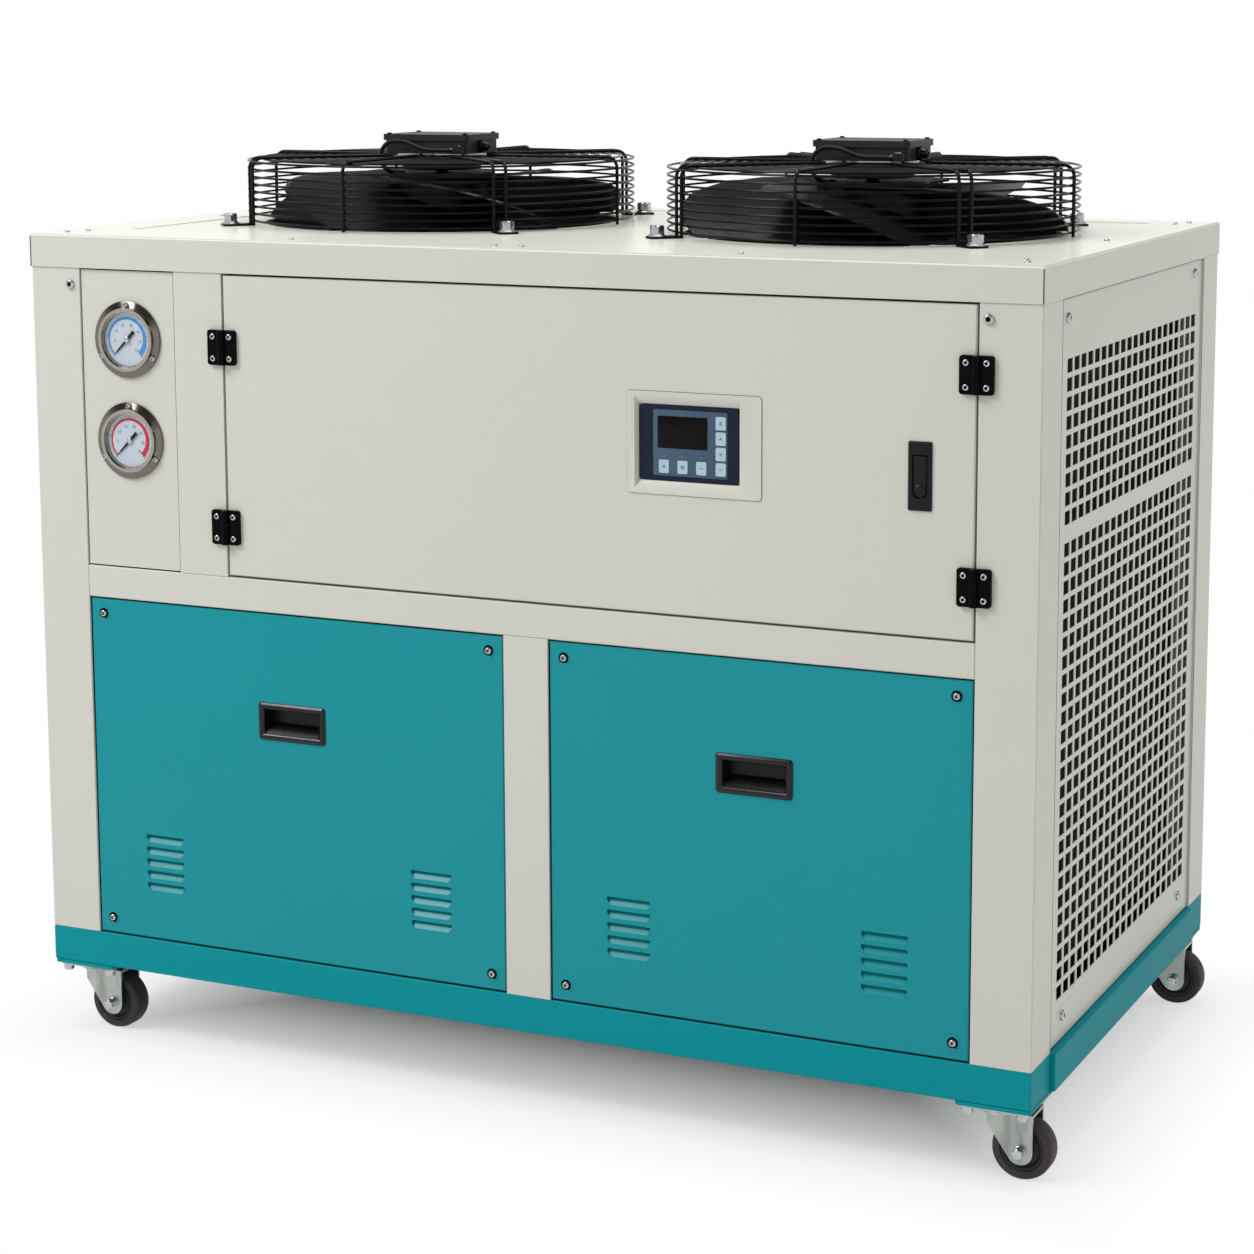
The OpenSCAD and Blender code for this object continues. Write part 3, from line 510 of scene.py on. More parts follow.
class Coat:
    """The finishes of this part, by what they cover."""

    CREAM = PowderCoat("cream_powder_coat", (0.560, 0.556, 0.498), (0.64, 0.64, 0.60), 0.26, gloss=0.14)
    TEAL = PowderCoat("teal_powder_coat", (0.005, 0.248, 0.284), (0.03, 0.29, 0.32), 0.24, 0.08, gloss=0.16)
    TEAL_BASE = PowderCoat("teal_base_coat", (0.005, 0.248, 0.284), (0.03, 0.29, 0.32), 0.4, 0.08, gloss=0.03)
    GREY = PlatedSteel("galvanised_sheet", (0.55, 0.56, 0.56), (0.36, 0.37, 0.38), 0.45, 0.5)
    HARDWARE = Moulded("black_moulding", (0.005, 0.005, 0.007), (0.018, 0.018, 0.021), 0.26,
                       grain_mm=0.015, dusty=0.1, gloss=0.3)
    LATCH = Moulded("latch_moulding", (0.004, 0.004, 0.004), (0.011, 0.011, 0.011), 0.32,
                    grain_mm=0.015, dusty=0.1, gloss=0.2)
    STOVED = Moulded("black_stoved_steel", (0.002, 0.002, 0.002), (0.008, 0.008, 0.008), 0.26, 500.0, 0.03, gloss=0.04)
    BLADE = Moulded("fan_blade_paint", (0.008, 0.008, 0.010), (0.02, 0.02, 0.024), 0.3, 300.0, 0.02, 0.3, 0.16)
    WIRE = Moulded("black_dipped_wire", (0.005, 0.005, 0.006), (0.014, 0.014, 0.016), 0.22, 300.0, 0.03, 0.2, 0.12)
    BOX = Moulded("box_moulding", (0.020, 0.020, 0.023), (0.04, 0.04, 0.044), 0.36, gloss=0.16)
    LEAD = Moulded("cable_sheath", (0.010, 0.010, 0.012), (0.03, 0.03, 0.034), 0.42, 300.0, 0.05, gloss=0.15)
    # Painted shade: a dark finish for the strips that fill the panel gaps and line the posts' side edges.
    GASKET = Moulded("painted_gap_shade", (0.004, 0.004, 0.004), (0.012, 0.011, 0.010), 0.6, gloss=0.03)
    ZINC = PlatedSteel("zinc_plating", (0.48, 0.52, 0.49), (0.26, 0.22, 0.15), 0.3, 0.5, 0.8)
    BRIGHT = TurnedSteel("turned_steel", (0.19, 0.172, 0.15), (0.36, 0.34, 0.30), GAUGE_X, GAUGE_Z, 44.4)
    SCREW = PlatedSteel("screw_plate", (0.50, 0.52, 0.54), (0.32, 0.32, 0.32), 0.22, 0.4)
    BOLT = PlatedSteel("bolt_plate", (0.44, 0.48, 0.49), (0.26, 0.28, 0.28), 0.26, 0.5)
    # Painted shade: dark finishes for discs on the floors of screw drives and round the panel screws.
    SOCKET = Moulded("socket_shade", (0.006, 0.006, 0.006), (0.02, 0.02, 0.02), 0.6, gloss=0.05)
    DRIVE = DialCard("drive_shade", (0.17, 0.135, 0.10), (0.12, 0.095, 0.07), 0.5)
    # Painted shade: a dark finish for thin lines in the seams at the lid's corners and round the bezel.
    SEAM = DialCard("seam_shade", (0.09, 0.06, 0.045), (0.03, 0.02, 0.016), 0.7, 0.03)
    CARD = DialCard("dial_card", (0.485, 0.545, 0.62), (0.44, 0.50, 0.57))
    INK = DialCard("dial_ink", (0.006, 0.006, 0.008), (0.012, 0.012, 0.016), 0.5, 0.03)
    BLUE = DialCard("dial_blue", (0.05, 0.22, 0.52), (0.07, 0.27, 0.58))
    RED = DialCard("dial_red", (0.48, 0.015, 0.03), (0.54, 0.04, 0.06))
    GLASS = ClearGlass("clear_lens")
    FINS = FinBlock("condenser_fins", (0.022, 0.022, 0.020), (0.002, 0.002, 0.002))
    BEZEL = Moulded("cream_moulding", (0.556, 0.552, 0.495), (0.61, 0.61, 0.57), 0.38, 700.0, 0.04, 0.2, 0.2)
    NAVY = Moulded("navy_moulding", (0.009, 0.014, 0.030), (0.018, 0.024, 0.045), 0.26, gloss=0.1)
    PLATE = DialCard("keypad_film", (0.056, 0.092, 0.142), (0.068, 0.108, 0.160), 0.36, 0.12)
    KEY = DialCard("key_film", (0.36, 0.49, 0.55), (0.42, 0.54, 0.60), 0.34)
    MARK = DialCard("key_print", (0.14, 0.22, 0.26), (0.18, 0.26, 0.30))
    SCREEN = DialCard("display_glass", (0.005, 0.005, 0.005), (0.008, 0.008, 0.008), 0.12, 0.06)
    TYRE = TyreRubber("tyre_rubber", (0.026, 0.022, 0.022), (0.068, 0.056, 0.053))
    CORE = Moulded("wheel_core", (0.022, 0.023, 0.025), (0.07, 0.07, 0.075), 0.4, gloss=0.2)


# Forms


class Side(Enum):
    """The side of the cabinet that a fitting faces: its across, up and outward directions."""

    FRONT = ((1, 0, 0), (0, 0, 1), (0, -1, 0))
    REAR = ((-1, 0, 0), (0, 0, 1), (0, 1, 0))
    RIGHT = ((0, 1, 0), (0, 0, 1), (1, 0, 0))
    LEFT = ((0, -1, 0), (0, 0, 1), (-1, 0, 0))
    TOP = ((1, 0, 0), (0, 1, 0), (0, 0, 1))
    UNDER = ((1, 0, 0), (0, -1, 0), (0, 0, -1))

    def at(self, point: Point, turn: float = 0.0) -> Matrix:
        """Placement of a fitting that is drawn about z.

        Args:
            point: where it stands, in mm.
            turn: its turn about its own axis, in degrees.

        Returns:
            The matrix from the fitting's drawing to the part.
        """
        axes = Matrix([[*row] for row in self.value]).transposed().to_4x4()
        return Matrix.Translation(point) @ axes @ Matrix.Rotation(math.radians(turn), 4, "Z")


ROUND_STEPS = 48
TINY = 1e-6
CORNERS = tuple((sx, sy) for sx in (-1, 1) for sy in (-1, 1))
QUARTERS = range(4)


@dataclass(frozen=True)
class Disc:
    """Circle outline."""

    r: float

    def loop(self, inset: float, z: float) -> Loop:
        """Points of the outline, drawn in by inset, at height z."""
        return polar(lambda a: self.r - inset, z)


@dataclass(frozen=True)
class Hexagon:
    """Hexagon outline by its width across flats."""

    flats: float

    def loop(self, inset: float, z: float) -> Loop:
        """Points of the outline, drawn in by inset, at height z."""
        sixth = math.pi / 3
        return polar(lambda a: (self.flats / 2 - inset) / math.cos((a + sixth / 2) % sixth - sixth / 2), z)


@dataclass(frozen=True)
class Sides:
    """Regular outline with a few straight sides, first corner up."""

    r: float
    count: int

    def loop(self, inset: float, z: float) -> Loop:
        """Points of the outline, drawn in by inset, at height z."""
        turns = [math.pi / 2 + 2 * math.pi * i / self.count for i in range(self.count)]
        return [Vector(((self.r - inset) * math.cos(t), (self.r - inset) * math.sin(t), z)) for t in turns]


@dataclass(frozen=True)
class CrossSlot:
    """Outline of a cross recess by the reach and half width of its arms."""

    reach: float
    half: float

    def loop(self, inset: float, z: float) -> Loop:
        """Points of the outline.

        Args:
            inset: how far it is drawn in.
            z: its height.

        Returns:
            The points, anticlockwise.
        """
        long, short = self.reach - inset, self.half - inset * 0.3

        def edge(a: float) -> float:
            """Distance from the middle to the outline."""
            c, s = max(abs(math.cos(a)), TINY), max(abs(math.sin(a)), TINY)
            return max(min(long / c, short / s), min(short / c, long / s))
        return polar(edge, z)


@dataclass(frozen=True)
class RoundRect:
    """Rounded rectangle outline; foot is the radius of its lower corners, where it differs."""

    w: float
    h: float
    r: float
    steps: int = 6
    foot: float | None = None

    def loop(self, inset: float, z: float) -> Loop:
        """Points of the outline.

        Args:
            inset: how far it is drawn in.
            z: its height.

        Returns:
            The points, anticlockwise.
        """
        points = []
        for k, (sx, sy) in enumerate(((1, 1), (-1, 1), (-1, -1), (1, -1))):
            corner = self.r if sy > 0 or self.foot is None else self.foot
            r = max(corner - inset, 0.05)
            x, y = self.w / 2 - inset - r, self.h / 2 - inset - r
            for i in range(self.steps + 1):
                a = (k + i / self.steps) * math.pi / 2
                points.append(Vector((sx * x + r * math.cos(a), sy * y + r * math.sin(a), z)))
        return points


def polar(edge: Callable[[float], float], z: float) -> Loop:
    """Loop of points round the z axis.

    Args:
        edge: distance from the axis at an angle.
        z: height of the loop.

    Returns:
        The points, anticlockwise.
    """
    angles = [2 * math.pi * i / ROUND_STEPS for i in range(ROUND_STEPS)]
    return [Vector((edge(a) * math.cos(a), edge(a) * math.sin(a), z)) for a in angles]


@dataclass
class Route:
    """Middle line of a cord, laid as straights and round bends."""

    points: list[Vector]
    heading: Vector
    step: float = 2.0

    def straight(self, length: float) -> "Route":
        """Goes on straight.

        Args:
            length: how far.

        Returns:
            The route itself.
        """
        start, count = self.points[-1], max(1, round(length / self.step))
        self.points += [start + self.heading * (length * (i + 1) / count) for i in range(count)]
        return self

    def bend(self, radius: float, degrees: float, towards: Vector) -> "Route":
        """Bends at one radius.

        Args:
            radius: radius of the bend.
            degrees: angle of the bend.
            towards: direction that it turns to.

        Returns:
            The route itself.
        """
        start, along = self.points[-1], self.heading
        side = (towards - along * towards.dot(along)).normalized()
        whole = math.radians(degrees)
        count = max(2, round(radius * whole / self.step))
        for i in range(1, count + 1):
            a = whole * i / count
            self.points.append(start + along * (radius * math.sin(a)) + side * (radius * (1 - math.cos(a))))
        self.heading = along * math.cos(whole) + side * math.sin(whole)
        return self

    def length(self) -> float:
        """Length of the line."""
        return sum((b - a).length for a, b in zip(self.points, self.points[1:]))


class Former:
    """Collects the faces of one piece, in mm, and makes its object."""

    def __init__(self) -> None:
        """Starts empty."""
        self.points: list[Vector] = []
        self.faces: list[tuple[int, ...]] = []

    def loft(self, loops: Sequence[Loop], place: Matrix | None = None, ring: bool = False,
             caps: tuple[bool, bool] = (True, True)) -> "Former":
        """Skins loops of equal count.

        Args:
            loops: closed loops in order.
            place: where the drawing goes.
            ring: joins the last loop to the first.
            caps: closes the first and the last loop.

        Returns:
            The former itself.
        """
        place = place or Matrix.Identity(4)
        start, n, count = len(self.points), len(loops[0]), len(loops)
        self.points += [place @ p for loop in loops for p in loop]
        for k in range(count if ring else count - 1):
            low, high = start + k * n, start + (k + 1) % count * n
            self.faces += [(low + i, low + (i + 1) % n, high + (i + 1) % n, high + i) for i in range(n)]
        if caps[0] and not ring:
            self.faces.append(tuple(start + i for i in reversed(range(n))))
        if caps[1] and not ring:
            self.faces.append(tuple(start + (count - 1) * n + i for i in range(n)))
        return self

    def turned(self, profile: Sequence[tuple[float, float]], place: Matrix | None = None) -> "Former":
        """Turns a profile about z.

        Args:
            profile: radii and heights; it makes a closed ring if it ends where it starts.
            place: where the drawing goes.

        Returns:
            The former itself.
        """
        ring = profile[0] == profile[-1]
        loops = [Disc(max(r, 0.01)).loop(0, z) for r, z in (profile[:-1] if ring else profile)]
        return self.loft(loops, place, ring)

    def boss(self, shape: Any, steps: Sequence[tuple[float, float]], place: Matrix | None = None) -> "Former":
        """Raises an outline through steps of inset and height."""
        return self.loft([shape.loop(inset, z) for inset, z in steps], place)

    def frame(self, outer: Any, inner: Any, height: float, place: Matrix) -> "Former":
        """Raises the ring between two outlines of equal count."""
        loops = [outer.loop(0, 0), outer.loop(0, height), inner.loop(0, height), inner.loop(0, 0)]
        return self.loft(loops, place, True)

    def tube(self, path: Sequence[Vector], radius: float, sides: int = 8, closed: bool = False) -> "Former":
        """Sweeps a round wire along a path.

        Args:
            path: points of the wire's middle line.
            radius: radius of the wire.
            sides: sides of its section.
            closed: the wire is a ring.

        Returns:
            The former itself.
        """
        count = len(path)
        loops, up = [], None
        for i, here in enumerate(path):
            after = path[(i + 1) % count] if closed or i < count - 1 else here
            before = path[i - 1] if closed or i else here
            along = (after - before).normalized()
            if up is None:
                up = along.orthogonal()
            up = (up - along * up.dot(along)).normalized()
            across = along.cross(up)
            turns = [2 * math.pi * k / sides for k in range(sides)]
            loops.append([here + (up * math.cos(t) + across * math.sin(t)) * radius for t in turns])
        return self.loft(loops, None, closed)

    def make(self, name: str, finish: Finish, body: str, slot: str, smooth: float = 38.0) -> bpy.types.Object:
        """Makes the object and puts it on its body.

        Args:
            name: the piece's name.
            finish: its finish.
            body: the CAD body that it rides on.
            slot: the record's material slot; not used.
            smooth: edges sharper than this many degrees stay sharp.

        Returns:
            The object.
        """
        mesh = bpy.data.meshes.new(name)
        mesh.from_pydata([p * MM for p in self.points], [], self.faces)
        mesh.validate()
        mesh.polygons.foreach_set("use_smooth", [True] * len(mesh.polygons))
        mesh.set_sharp_from_angle(angle=math.radians(smooth))
        mesh.materials.append(finish.material())
        piece = bpy.data.objects.new(name, mesh)
        bpy.context.scene.collection.objects.link(piece)
        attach(piece, body)
        LOG.info("%s: %d faces on %s", name, len(self.faces), body)
        return piece


WELD_MM = 0.01
FOLD_SEGMENTS = 2
FOLD_DEGREES = 50.0
SHADE_WEIGHT = 80


def paint(finish: Finish, *nodes: str, edge: float = 0.0) -> None:
    """Gives CAD nodes a finish.

    Args:
        finish: the finish.
        nodes: names of the nodes.
        edge: radius of their folded or moulded edges in mm; 0 leaves them sharp.
    """
    for name in nodes:
        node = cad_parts[name]
        node.data.materials.clear()
        node.data.materials.append(finish.material())
        if edge:
            node.modifiers.new("join", "WELD").merge_threshold = WELD_MM * MM
            bend = node.modifiers.new("fold", "BEVEL")
            bend.width, bend.segments = edge * MM, FOLD_SEGMENTS
            bend.limit_method, bend.angle_limit = "ANGLE", math.radians(FOLD_DEGREES)
            node.modifiers.new("shade", "WEIGHTED_NORMAL").weight = SHADE_WEIGHT
        LOG.info("%s: %s", name, finish.name)


# Fasteners


class Drive(Enum):
    """How a screw is turned."""

    CROSS = "cross"
    SOCKET = "socket"


@dataclass(frozen=True)
class Screw:
    """Button head screw with a cross or a socket."""

    head: float
    height: float
    drive: Drive = Drive.CROSS
    dome: tuple[tuple[float, float], ...] = ((0, 0), (0, 0.35), (0.06, 0.65), (0.16, 0.86), (0.3, 1.0))
    wall: float = 0.75
    floor: float = 0.4
    floor_t: float = 0.06

    def _recess(self, cross: tuple[float, float], flats: float) -> Any:
        """Outline of the drive, by shares of the head's radius: a cross's arms or a socket's flats."""
        r = self.head / 2
        return CrossSlot(r * cross[0], r * cross[1]) if self.drive is Drive.CROSS else Hexagon(r * flats)

    def form(self, former: Former, place: Matrix) -> None:
        """Adds the screw head.

        Args:
            former: takes its faces.
            place: where it stands.
        """
        r, h = self.head / 2, self.height
        slot = self._recess((0.6, 0.17), 0.95)
        dome = [Disc(r).loop(inset * r, z * h) for inset, z in self.dome]
        sink = [slot.loop(0, h), slot.loop(0, self.wall * h), slot.loop(0.12 * r, self.floor * h)]
        former.loft(dome + sink, place, caps=(False, True))

    def shade(self, former: Former, place: Matrix) -> None:
        """Adds painted shade: a dark disc on the floor of the drive.

        Args:
            former: takes its faces.
            place: where the screw stands.
        """
        slot = self._recess((0.5, 0.14), 0.78)
        former.loft([slot.loop(0, share * self.height) for share in (self.floor, self.floor + self.floor_t)], place)


@dataclass(frozen=True)
class HexBolt:
    """Hexagon bolt on a spring washer and a flat washer."""

    flats: float
    height: float
    washer: float
    flat_t: float = 2.0
    spring_top: float = 4.4

    def form(self, former: Former, place: Matrix) -> None:
        """Adds the bolt and its washers.

        Args:
            former: takes their faces.
            place: where they stand.
        """
        w, f, t, low = self.washer / 2, self.flats, self.flat_t, self.spring_top
        former.turned(((w, 0), (w, t - 0.4), (w - 0.5, t), (f * 0.4, t)), place)
        former.turned(((f * 0.54, t), (f * 0.54, low), (f * 0.4, low)), place)
        top = low + self.height
        sides = [Hexagon(f).loop(0, low), Hexagon(f).loop(0, top - 1.2)]
        crown = [Disc(f * 0.49).loop(0, top - 0.3), Disc(f * 0.45).loop(0, top)]
        former.loft(sides + crown, place)


# Cabinet


@dataclass
class Cabinet:
    """Painted sheet-metal cabinet and the screws that hold its panels."""

    front_y: float = -420.0
    panel_y: float = -418.0
    panel_screw_z: tuple[float, float] = (179.0, 623.0)
    panel_screw_x: tuple[float, ...] = (-632.0, -19.0, 92.0, 632.0)
    post_screws: tuple[tuple[float, float], ...] = ((-670.0, 1087.0), (667.0, 1090.0))
    side_screws: tuple[tuple[float, float], ...] = (
        (-311.0, 1084.0), (300.0, 1091.0), (-285.0, 188.0), (285.0, 188.0))
    side_x: float = 732.2
    lid_z: float = 1155.0
    lid_half: tuple[float, float] = (734.2, 419.2)
    deck: tuple[float, float, float] = (652.0, -297.0, 358.0)
    strip_t: float = 1.0
    lid_screws: tuple[tuple[float, float], ...] = (
        (702.0, 380.0), (690.0, 347.0), (690.0, 0.0), (20.0, 388.0), (330.0, 388.0))
    lid_skirt: tuple[float, float] = (1110.5, 1152.5)
    corner: tuple[float, float] = (736.4, 421.4)
    corner_seam: tuple[float, float] = (1.4, 1.6)
    line: tuple[tuple[float, float], ...] = ((0, -0.1), (0, 0.12))
    seat: tuple[float, float] = (416.0, 731.0)
    bay_x: tuple[float, float, float, float, float] = (-655.0, -500.0, 4.0, 69.0, 655.0)
    bay_z: tuple[float, float, float, float] = (155.0, 646.0, 691.0, 1110.0)
    side_bay: float = 340.0
    gap: float = 2.0
    post_x: float = 735.0
    # Painted shade lines and gap strips: line width, play, strip thickness and corner radius.
    bead: float = 0.6
    play: float = 0.2
    gasket_t: float = 0.7
    gasket_corner: float = 0.3
    pull: tuple[float, float, float] = (107.0, 53.0, 5.0)
    pull_x: tuple[float, float] = (-325.5, 362.0)
    pull_z: float = 493.0
    rim: tuple[tuple[float, float], ...] = (
        (0, 0), (0, 0.5), (0.3, 0.9), (3.5, 3.2), (4.1, 3.4), (6.8, 3.4), (7.2, 3.2), (9.3, 1.5), (9.6, 0.8))
    pocket: tuple[tuple[float, float], ...] = ((0.8, 0.0), (-2.2, 3.0), (-6.0, 6.2), (-11.0, 9.0), (-20.0, 11.5))
    pocket_taper: float = 6.0
    pocket_corner: float = 3.0
    louvre: tuple[float, float, float] = (64.0, 11.0, 17.5)
    louvre_in: float = 115.0
    louvre_z: float = 268.0
    louvre_count: int = 5
    louvre_cut: tuple[float, float] = (6.5, 8.0)
    louvre_lap: float = 0.3
    louvre_t: tuple[float, float] = (-0.6, 0.08)
    screw: Screw = Screw(9.6, 3.4, Drive.SOCKET)
    button: Screw = Screw(13.5, 4.0, Drive.SOCKET)
    pan: Screw = Screw(8.0, 2.2)
    hole_r: float = 7.6
    hole_t: float = 0.15
    cup: tuple[tuple[float, float], ...] = ((3.2, 0), (1.2, 0.9), (0.8, 1.0), (-0.4, 0.1), (-0.4, 0))

    def dress(self) -> None:
        """Paints the sheet metal."""
        paint(Coat.CREAM, "front_left_post", "front_right_post", "rear_left_post", "rear_right_post",
              "front_centre_post", "rear_centre_post", "door_mullion", edge=1.0)
        paint(Coat.CREAM, "front_middle_rail", "rear_middle_rail", edge=2.0)
        paint(Coat.CREAM, "gauge_panel", "rear_upper_panel", "lid", "left_side_panel", "right_side_panel")
        paint(Coat.TEAL_BASE, "front_base_rail", "rear_base_rail", "left_base_rail", "right_base_rail", edge=2.0)
        paint(Coat.TEAL_BASE, "corner_pads")
        paint(Coat.TEAL, "left_service_panel", "right_service_panel", "rear_left_panel", "rear_right_panel")
        paint(Coat.GREY, "floor_pan", "control_box")
        paint(Coat.FINS, "condenser_coils")
        paint(Coat.ZINC, "water_ports")

    def build(self) -> None:
        """Makes the screws, handles, louvre corners, and the painted shade lines at the lid's corner seams and in the
        panel gaps.
        """
        self._screws()
        for name, x in zip(("left", "right"), self.pull_x):
            self._handle(name, x)
        self._louvre_corners()
        self._seams()
        self._gaskets()

    def _screws(self) -> None:
        """Makes the screws of panels, posts, sides and lid, each at a turn of its own."""
        screws, cups, hole_shade_discs, sockets, drive_shade_discs = Former(), Former(), Former(), Former(), Former()
        r, floor = self.hole_r, self.hole_t
        cup = [(r + out, rise) for out, rise in self.cup]
        for side, y in ((Side.FRONT, self.panel_y), (Side.REAR, -self.panel_y)):
            for x in self.panel_screw_x:
                for z in self.panel_screw_z:
                    place = side.at((x, y, z), 20 + 37 * z)
                    cups.turned(cup, place)
                    # Painted shade: a dark disc under the cup shows as a dark ring round the screw, for the shade of
                    # its hole.
                    hole_shade_discs.turned(((r, 0), (r, floor), (0, floor)), place)
                    self._fit(self.screw, screws, drive_shade_discs, place)
        for x, z in self.post_screws:
            self._fit(self.button, screws, sockets, Side.FRONT.at((x, self.front_y, z), x))
            self._fit(self.button, screws, sockets, Side.REAR.at((x, -self.front_y, z), x))
        for y, z in self.side_screws:
            self._fit(self.button, screws, sockets, Side.RIGHT.at((self.side_x, y, z), y))
            self._fit(self.button, screws, sockets, Side.LEFT.at((-self.side_x, y, z), y))
        for x, y in self.lid_screws:
            for sx, sy in CORNERS:
                spot = (sx * x, sy * y, self.lid_z + self.strip_t)
                self._fit(self.pan, screws, sockets, Side.TOP.at(spot, 3 * x + 40 * sx * sy))
        screws.make("panel_screws", Coat.SCREW, "cabinet", "chrome")
        # Painted shade on the floors of the screw drives.
        sockets.make("post_screw_socket_shade", Coat.SOCKET, "cabinet", "black_hardware")
        drive_shade_discs.make("panel_screw_drive_shade", Coat.DRIVE, "cabinet", "chrome")
        cups.make("panel_screw_cups", Coat.TEAL, "cabinet", "teal_coat")
        hole_shade_discs.make("panel_screw_hole_shade", Coat.SOCKET, "cabinet", "black_hardware")

    def _handle(self, name: str, x: float) -> None:
        """Makes one pull handle: a chamfered frame, and the pocket behind it in a darker finish as painted shade.

        Args:
            name: its side, left or right.
            x: its middle.
        """
        border, place = RoundRect(*self.pull), Side.FRONT.at((x, self.panel_y, self.pull_z))
        mouth = 2 * self.rim[-1][0]
        wide, high = self.pull[0] - mouth, self.pull[1] - mouth
        rim = [border.loop(inset, z) for inset, z in self.rim]
        pocket = []
        for depth, floor in self.pocket:
            outline = RoundRect(wide + depth / self.pocket_taper, high - floor, self.pocket_corner)
            pocket.append([point + Vector((0, floor / 2, 0)) for point in outline.loop(0, depth)])
        # Painted shade: the pocket takes the darker latch moulding, so that its inside reads as shade.
        for part, loops, finish, smooth in (("frame", rim, Coat.HARDWARE, 30.0), ("pocket", pocket, Coat.LATCH, 50.0)):
            former = Former().loft(loops, place, caps=(False, part == "pocket"))
            piece = former.make(f"{name}_handle_{part}", finish, "cabinet", "black_hardware", smooth)
            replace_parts(piece, f"{name}_pull_handle")

    def _louvre_corners(self) -> None:
        """Fills the lower corners of the front louvres, so that their ends taper."""
        w, h, pitch = self.louvre
        along, up = self.louvre_cut
        x0, _, x2, x3, x4 = self.bay_x
        over = self.louvre_lap
        corners = Former()
        for x in (x0 + self.louvre_in, x2 - self.louvre_in, x3 + self.louvre_in, x4 - self.louvre_in):
            for i in range(self.louvre_count):
                place = Side.FRONT.at((x, self.panel_y, self.louvre_z + (i - (self.louvre_count - 1) / 2) * pitch))
                for s in (-1, 1):
                    end, foot = s * (w / 2 + over), -h / 2 - over
                    flat = [(end, foot), (s * (w / 2 - along), foot), (end, -h / 2 + up)][::s]
                    corners.loft([[Vector((a, b, z)) for a, b in flat] for z in self.louvre_t], place)
        corners.make("louvre_corners", Coat.TEAL, "cabinet", "teal_coat")

    def _gaskets(self) -> None:
        """Makes painted shade: dark strips in the gap round each fixed panel, and thin dark lines on the posts' side
        faces along the side panels' edges.
        """
        rubber = Former()
        x0, x1, x2, x3, x4 = self.bay_x
        low, sill, rail, top = self.bay_z
        y, x = self.seat
        half, play, round_off = self.side_bay, self.play, self.gasket_corner
        lower = ((x0, x2, low, sill), (x3, x4, low, sill))
        bays = [(side, depth, *bay) for side, depth, upper in ((Side.FRONT, -y, x1), (Side.REAR, y, x4))
                for bay in (*lower, (x0, upper, rail, top))]
        bays += [(Side.RIGHT, x, -half, half, low, top), (Side.LEFT, -x, -half, half, low, top)]
        for side, depth, a, b, z0, z1 in bays:
            mid = ((a + b) / 2, depth, (z0 + z1) / 2)
            spot = (depth, 0.0, (z0 + z1) / 2) if side in (Side.RIGHT, Side.LEFT) else mid
            outer = RoundRect(b - a - play, z1 - z0 - play, round_off, 1)
            inner = RoundRect(b - a - 2 * self.gap - play, z1 - z0 - 2 * self.gap - play, round_off, 1)
            rubber.frame(outer, inner, self.gasket_t, side.at(spot))
        # Painted shade lines on the posts' side faces, where the side panels meet them.
        for side, sx in ((Side.RIGHT, 1), (Side.LEFT, -1)):
            for sy in (-1, 1):
                spot = (sx * self.post_x, sy * (half + self.bead), (low + top) / 2)
                rubber.boss(RoundRect(2 * self.bead - play, top - low, round_off, 1), self.line, side.at(spot))
        rubber.make("panel_gap_shade", Coat.GASKET, "cabinet", "black_hardware")

    @staticmethod
    def _fit(screw: Screw, heads: Former, sockets: Former, place: Matrix) -> None:
        """Adds one screw and a painted shade disc on the floor of its drive."""
        screw.form(heads, place)
        screw.shade(sockets, place)

    def _seams(self) -> None:
        """Makes the folded border of the lid round the fan deck, and painted shade lines for the seams at the lid's
        corners.
        """
        x1, y1 = self.lid_half
        deck_x, front, back = self.deck
        t = self.strip_t
        steps = ((0, -0.2), (0, t - 0.3), (0.3, t))
        border, seam_shade_lines = Former(), Former()
        for s in (-1, 1):
            wide, mid = x1 - deck_x, (x1 + deck_x) / 2
            border.boss(RoundRect(wide, 2 * y1, 0.4, 1), steps, Side.TOP.at((s * mid, 0, self.lid_z)))
        for y0, y2 in ((-y1, front), (back, y1)):
            place = Side.TOP.at((0, (y0 + y2) / 2, self.lid_z))
            border.boss(RoundRect(2 * deck_x - 0.8, y2 - y0, 0.4, 1), steps, place)
        border.make("lid_border", Coat.CREAM, "cabinet", "cream_coat")
        # Painted shade: dark strips on the lid's skirt stand in for the shade in its corner seams.
        low, high = self.lid_skirt
        x, y = self.corner
        back_from, wide = self.corner_seam
        for side, sy in ((Side.FRONT, -1), (Side.REAR, 1)):
            for sx in (-1, 1):
                place = side.at((sx * (x - back_from), sy * y, (low + high) / 2))
                seam_shade_lines.boss(RoundRect(wide, high - low, 0.2, 1), self.line, place)
        seam_shade_lines.make("lid_corner_seam_shade", Coat.SEAM, "cabinet", "cream_coat")


# Gauges


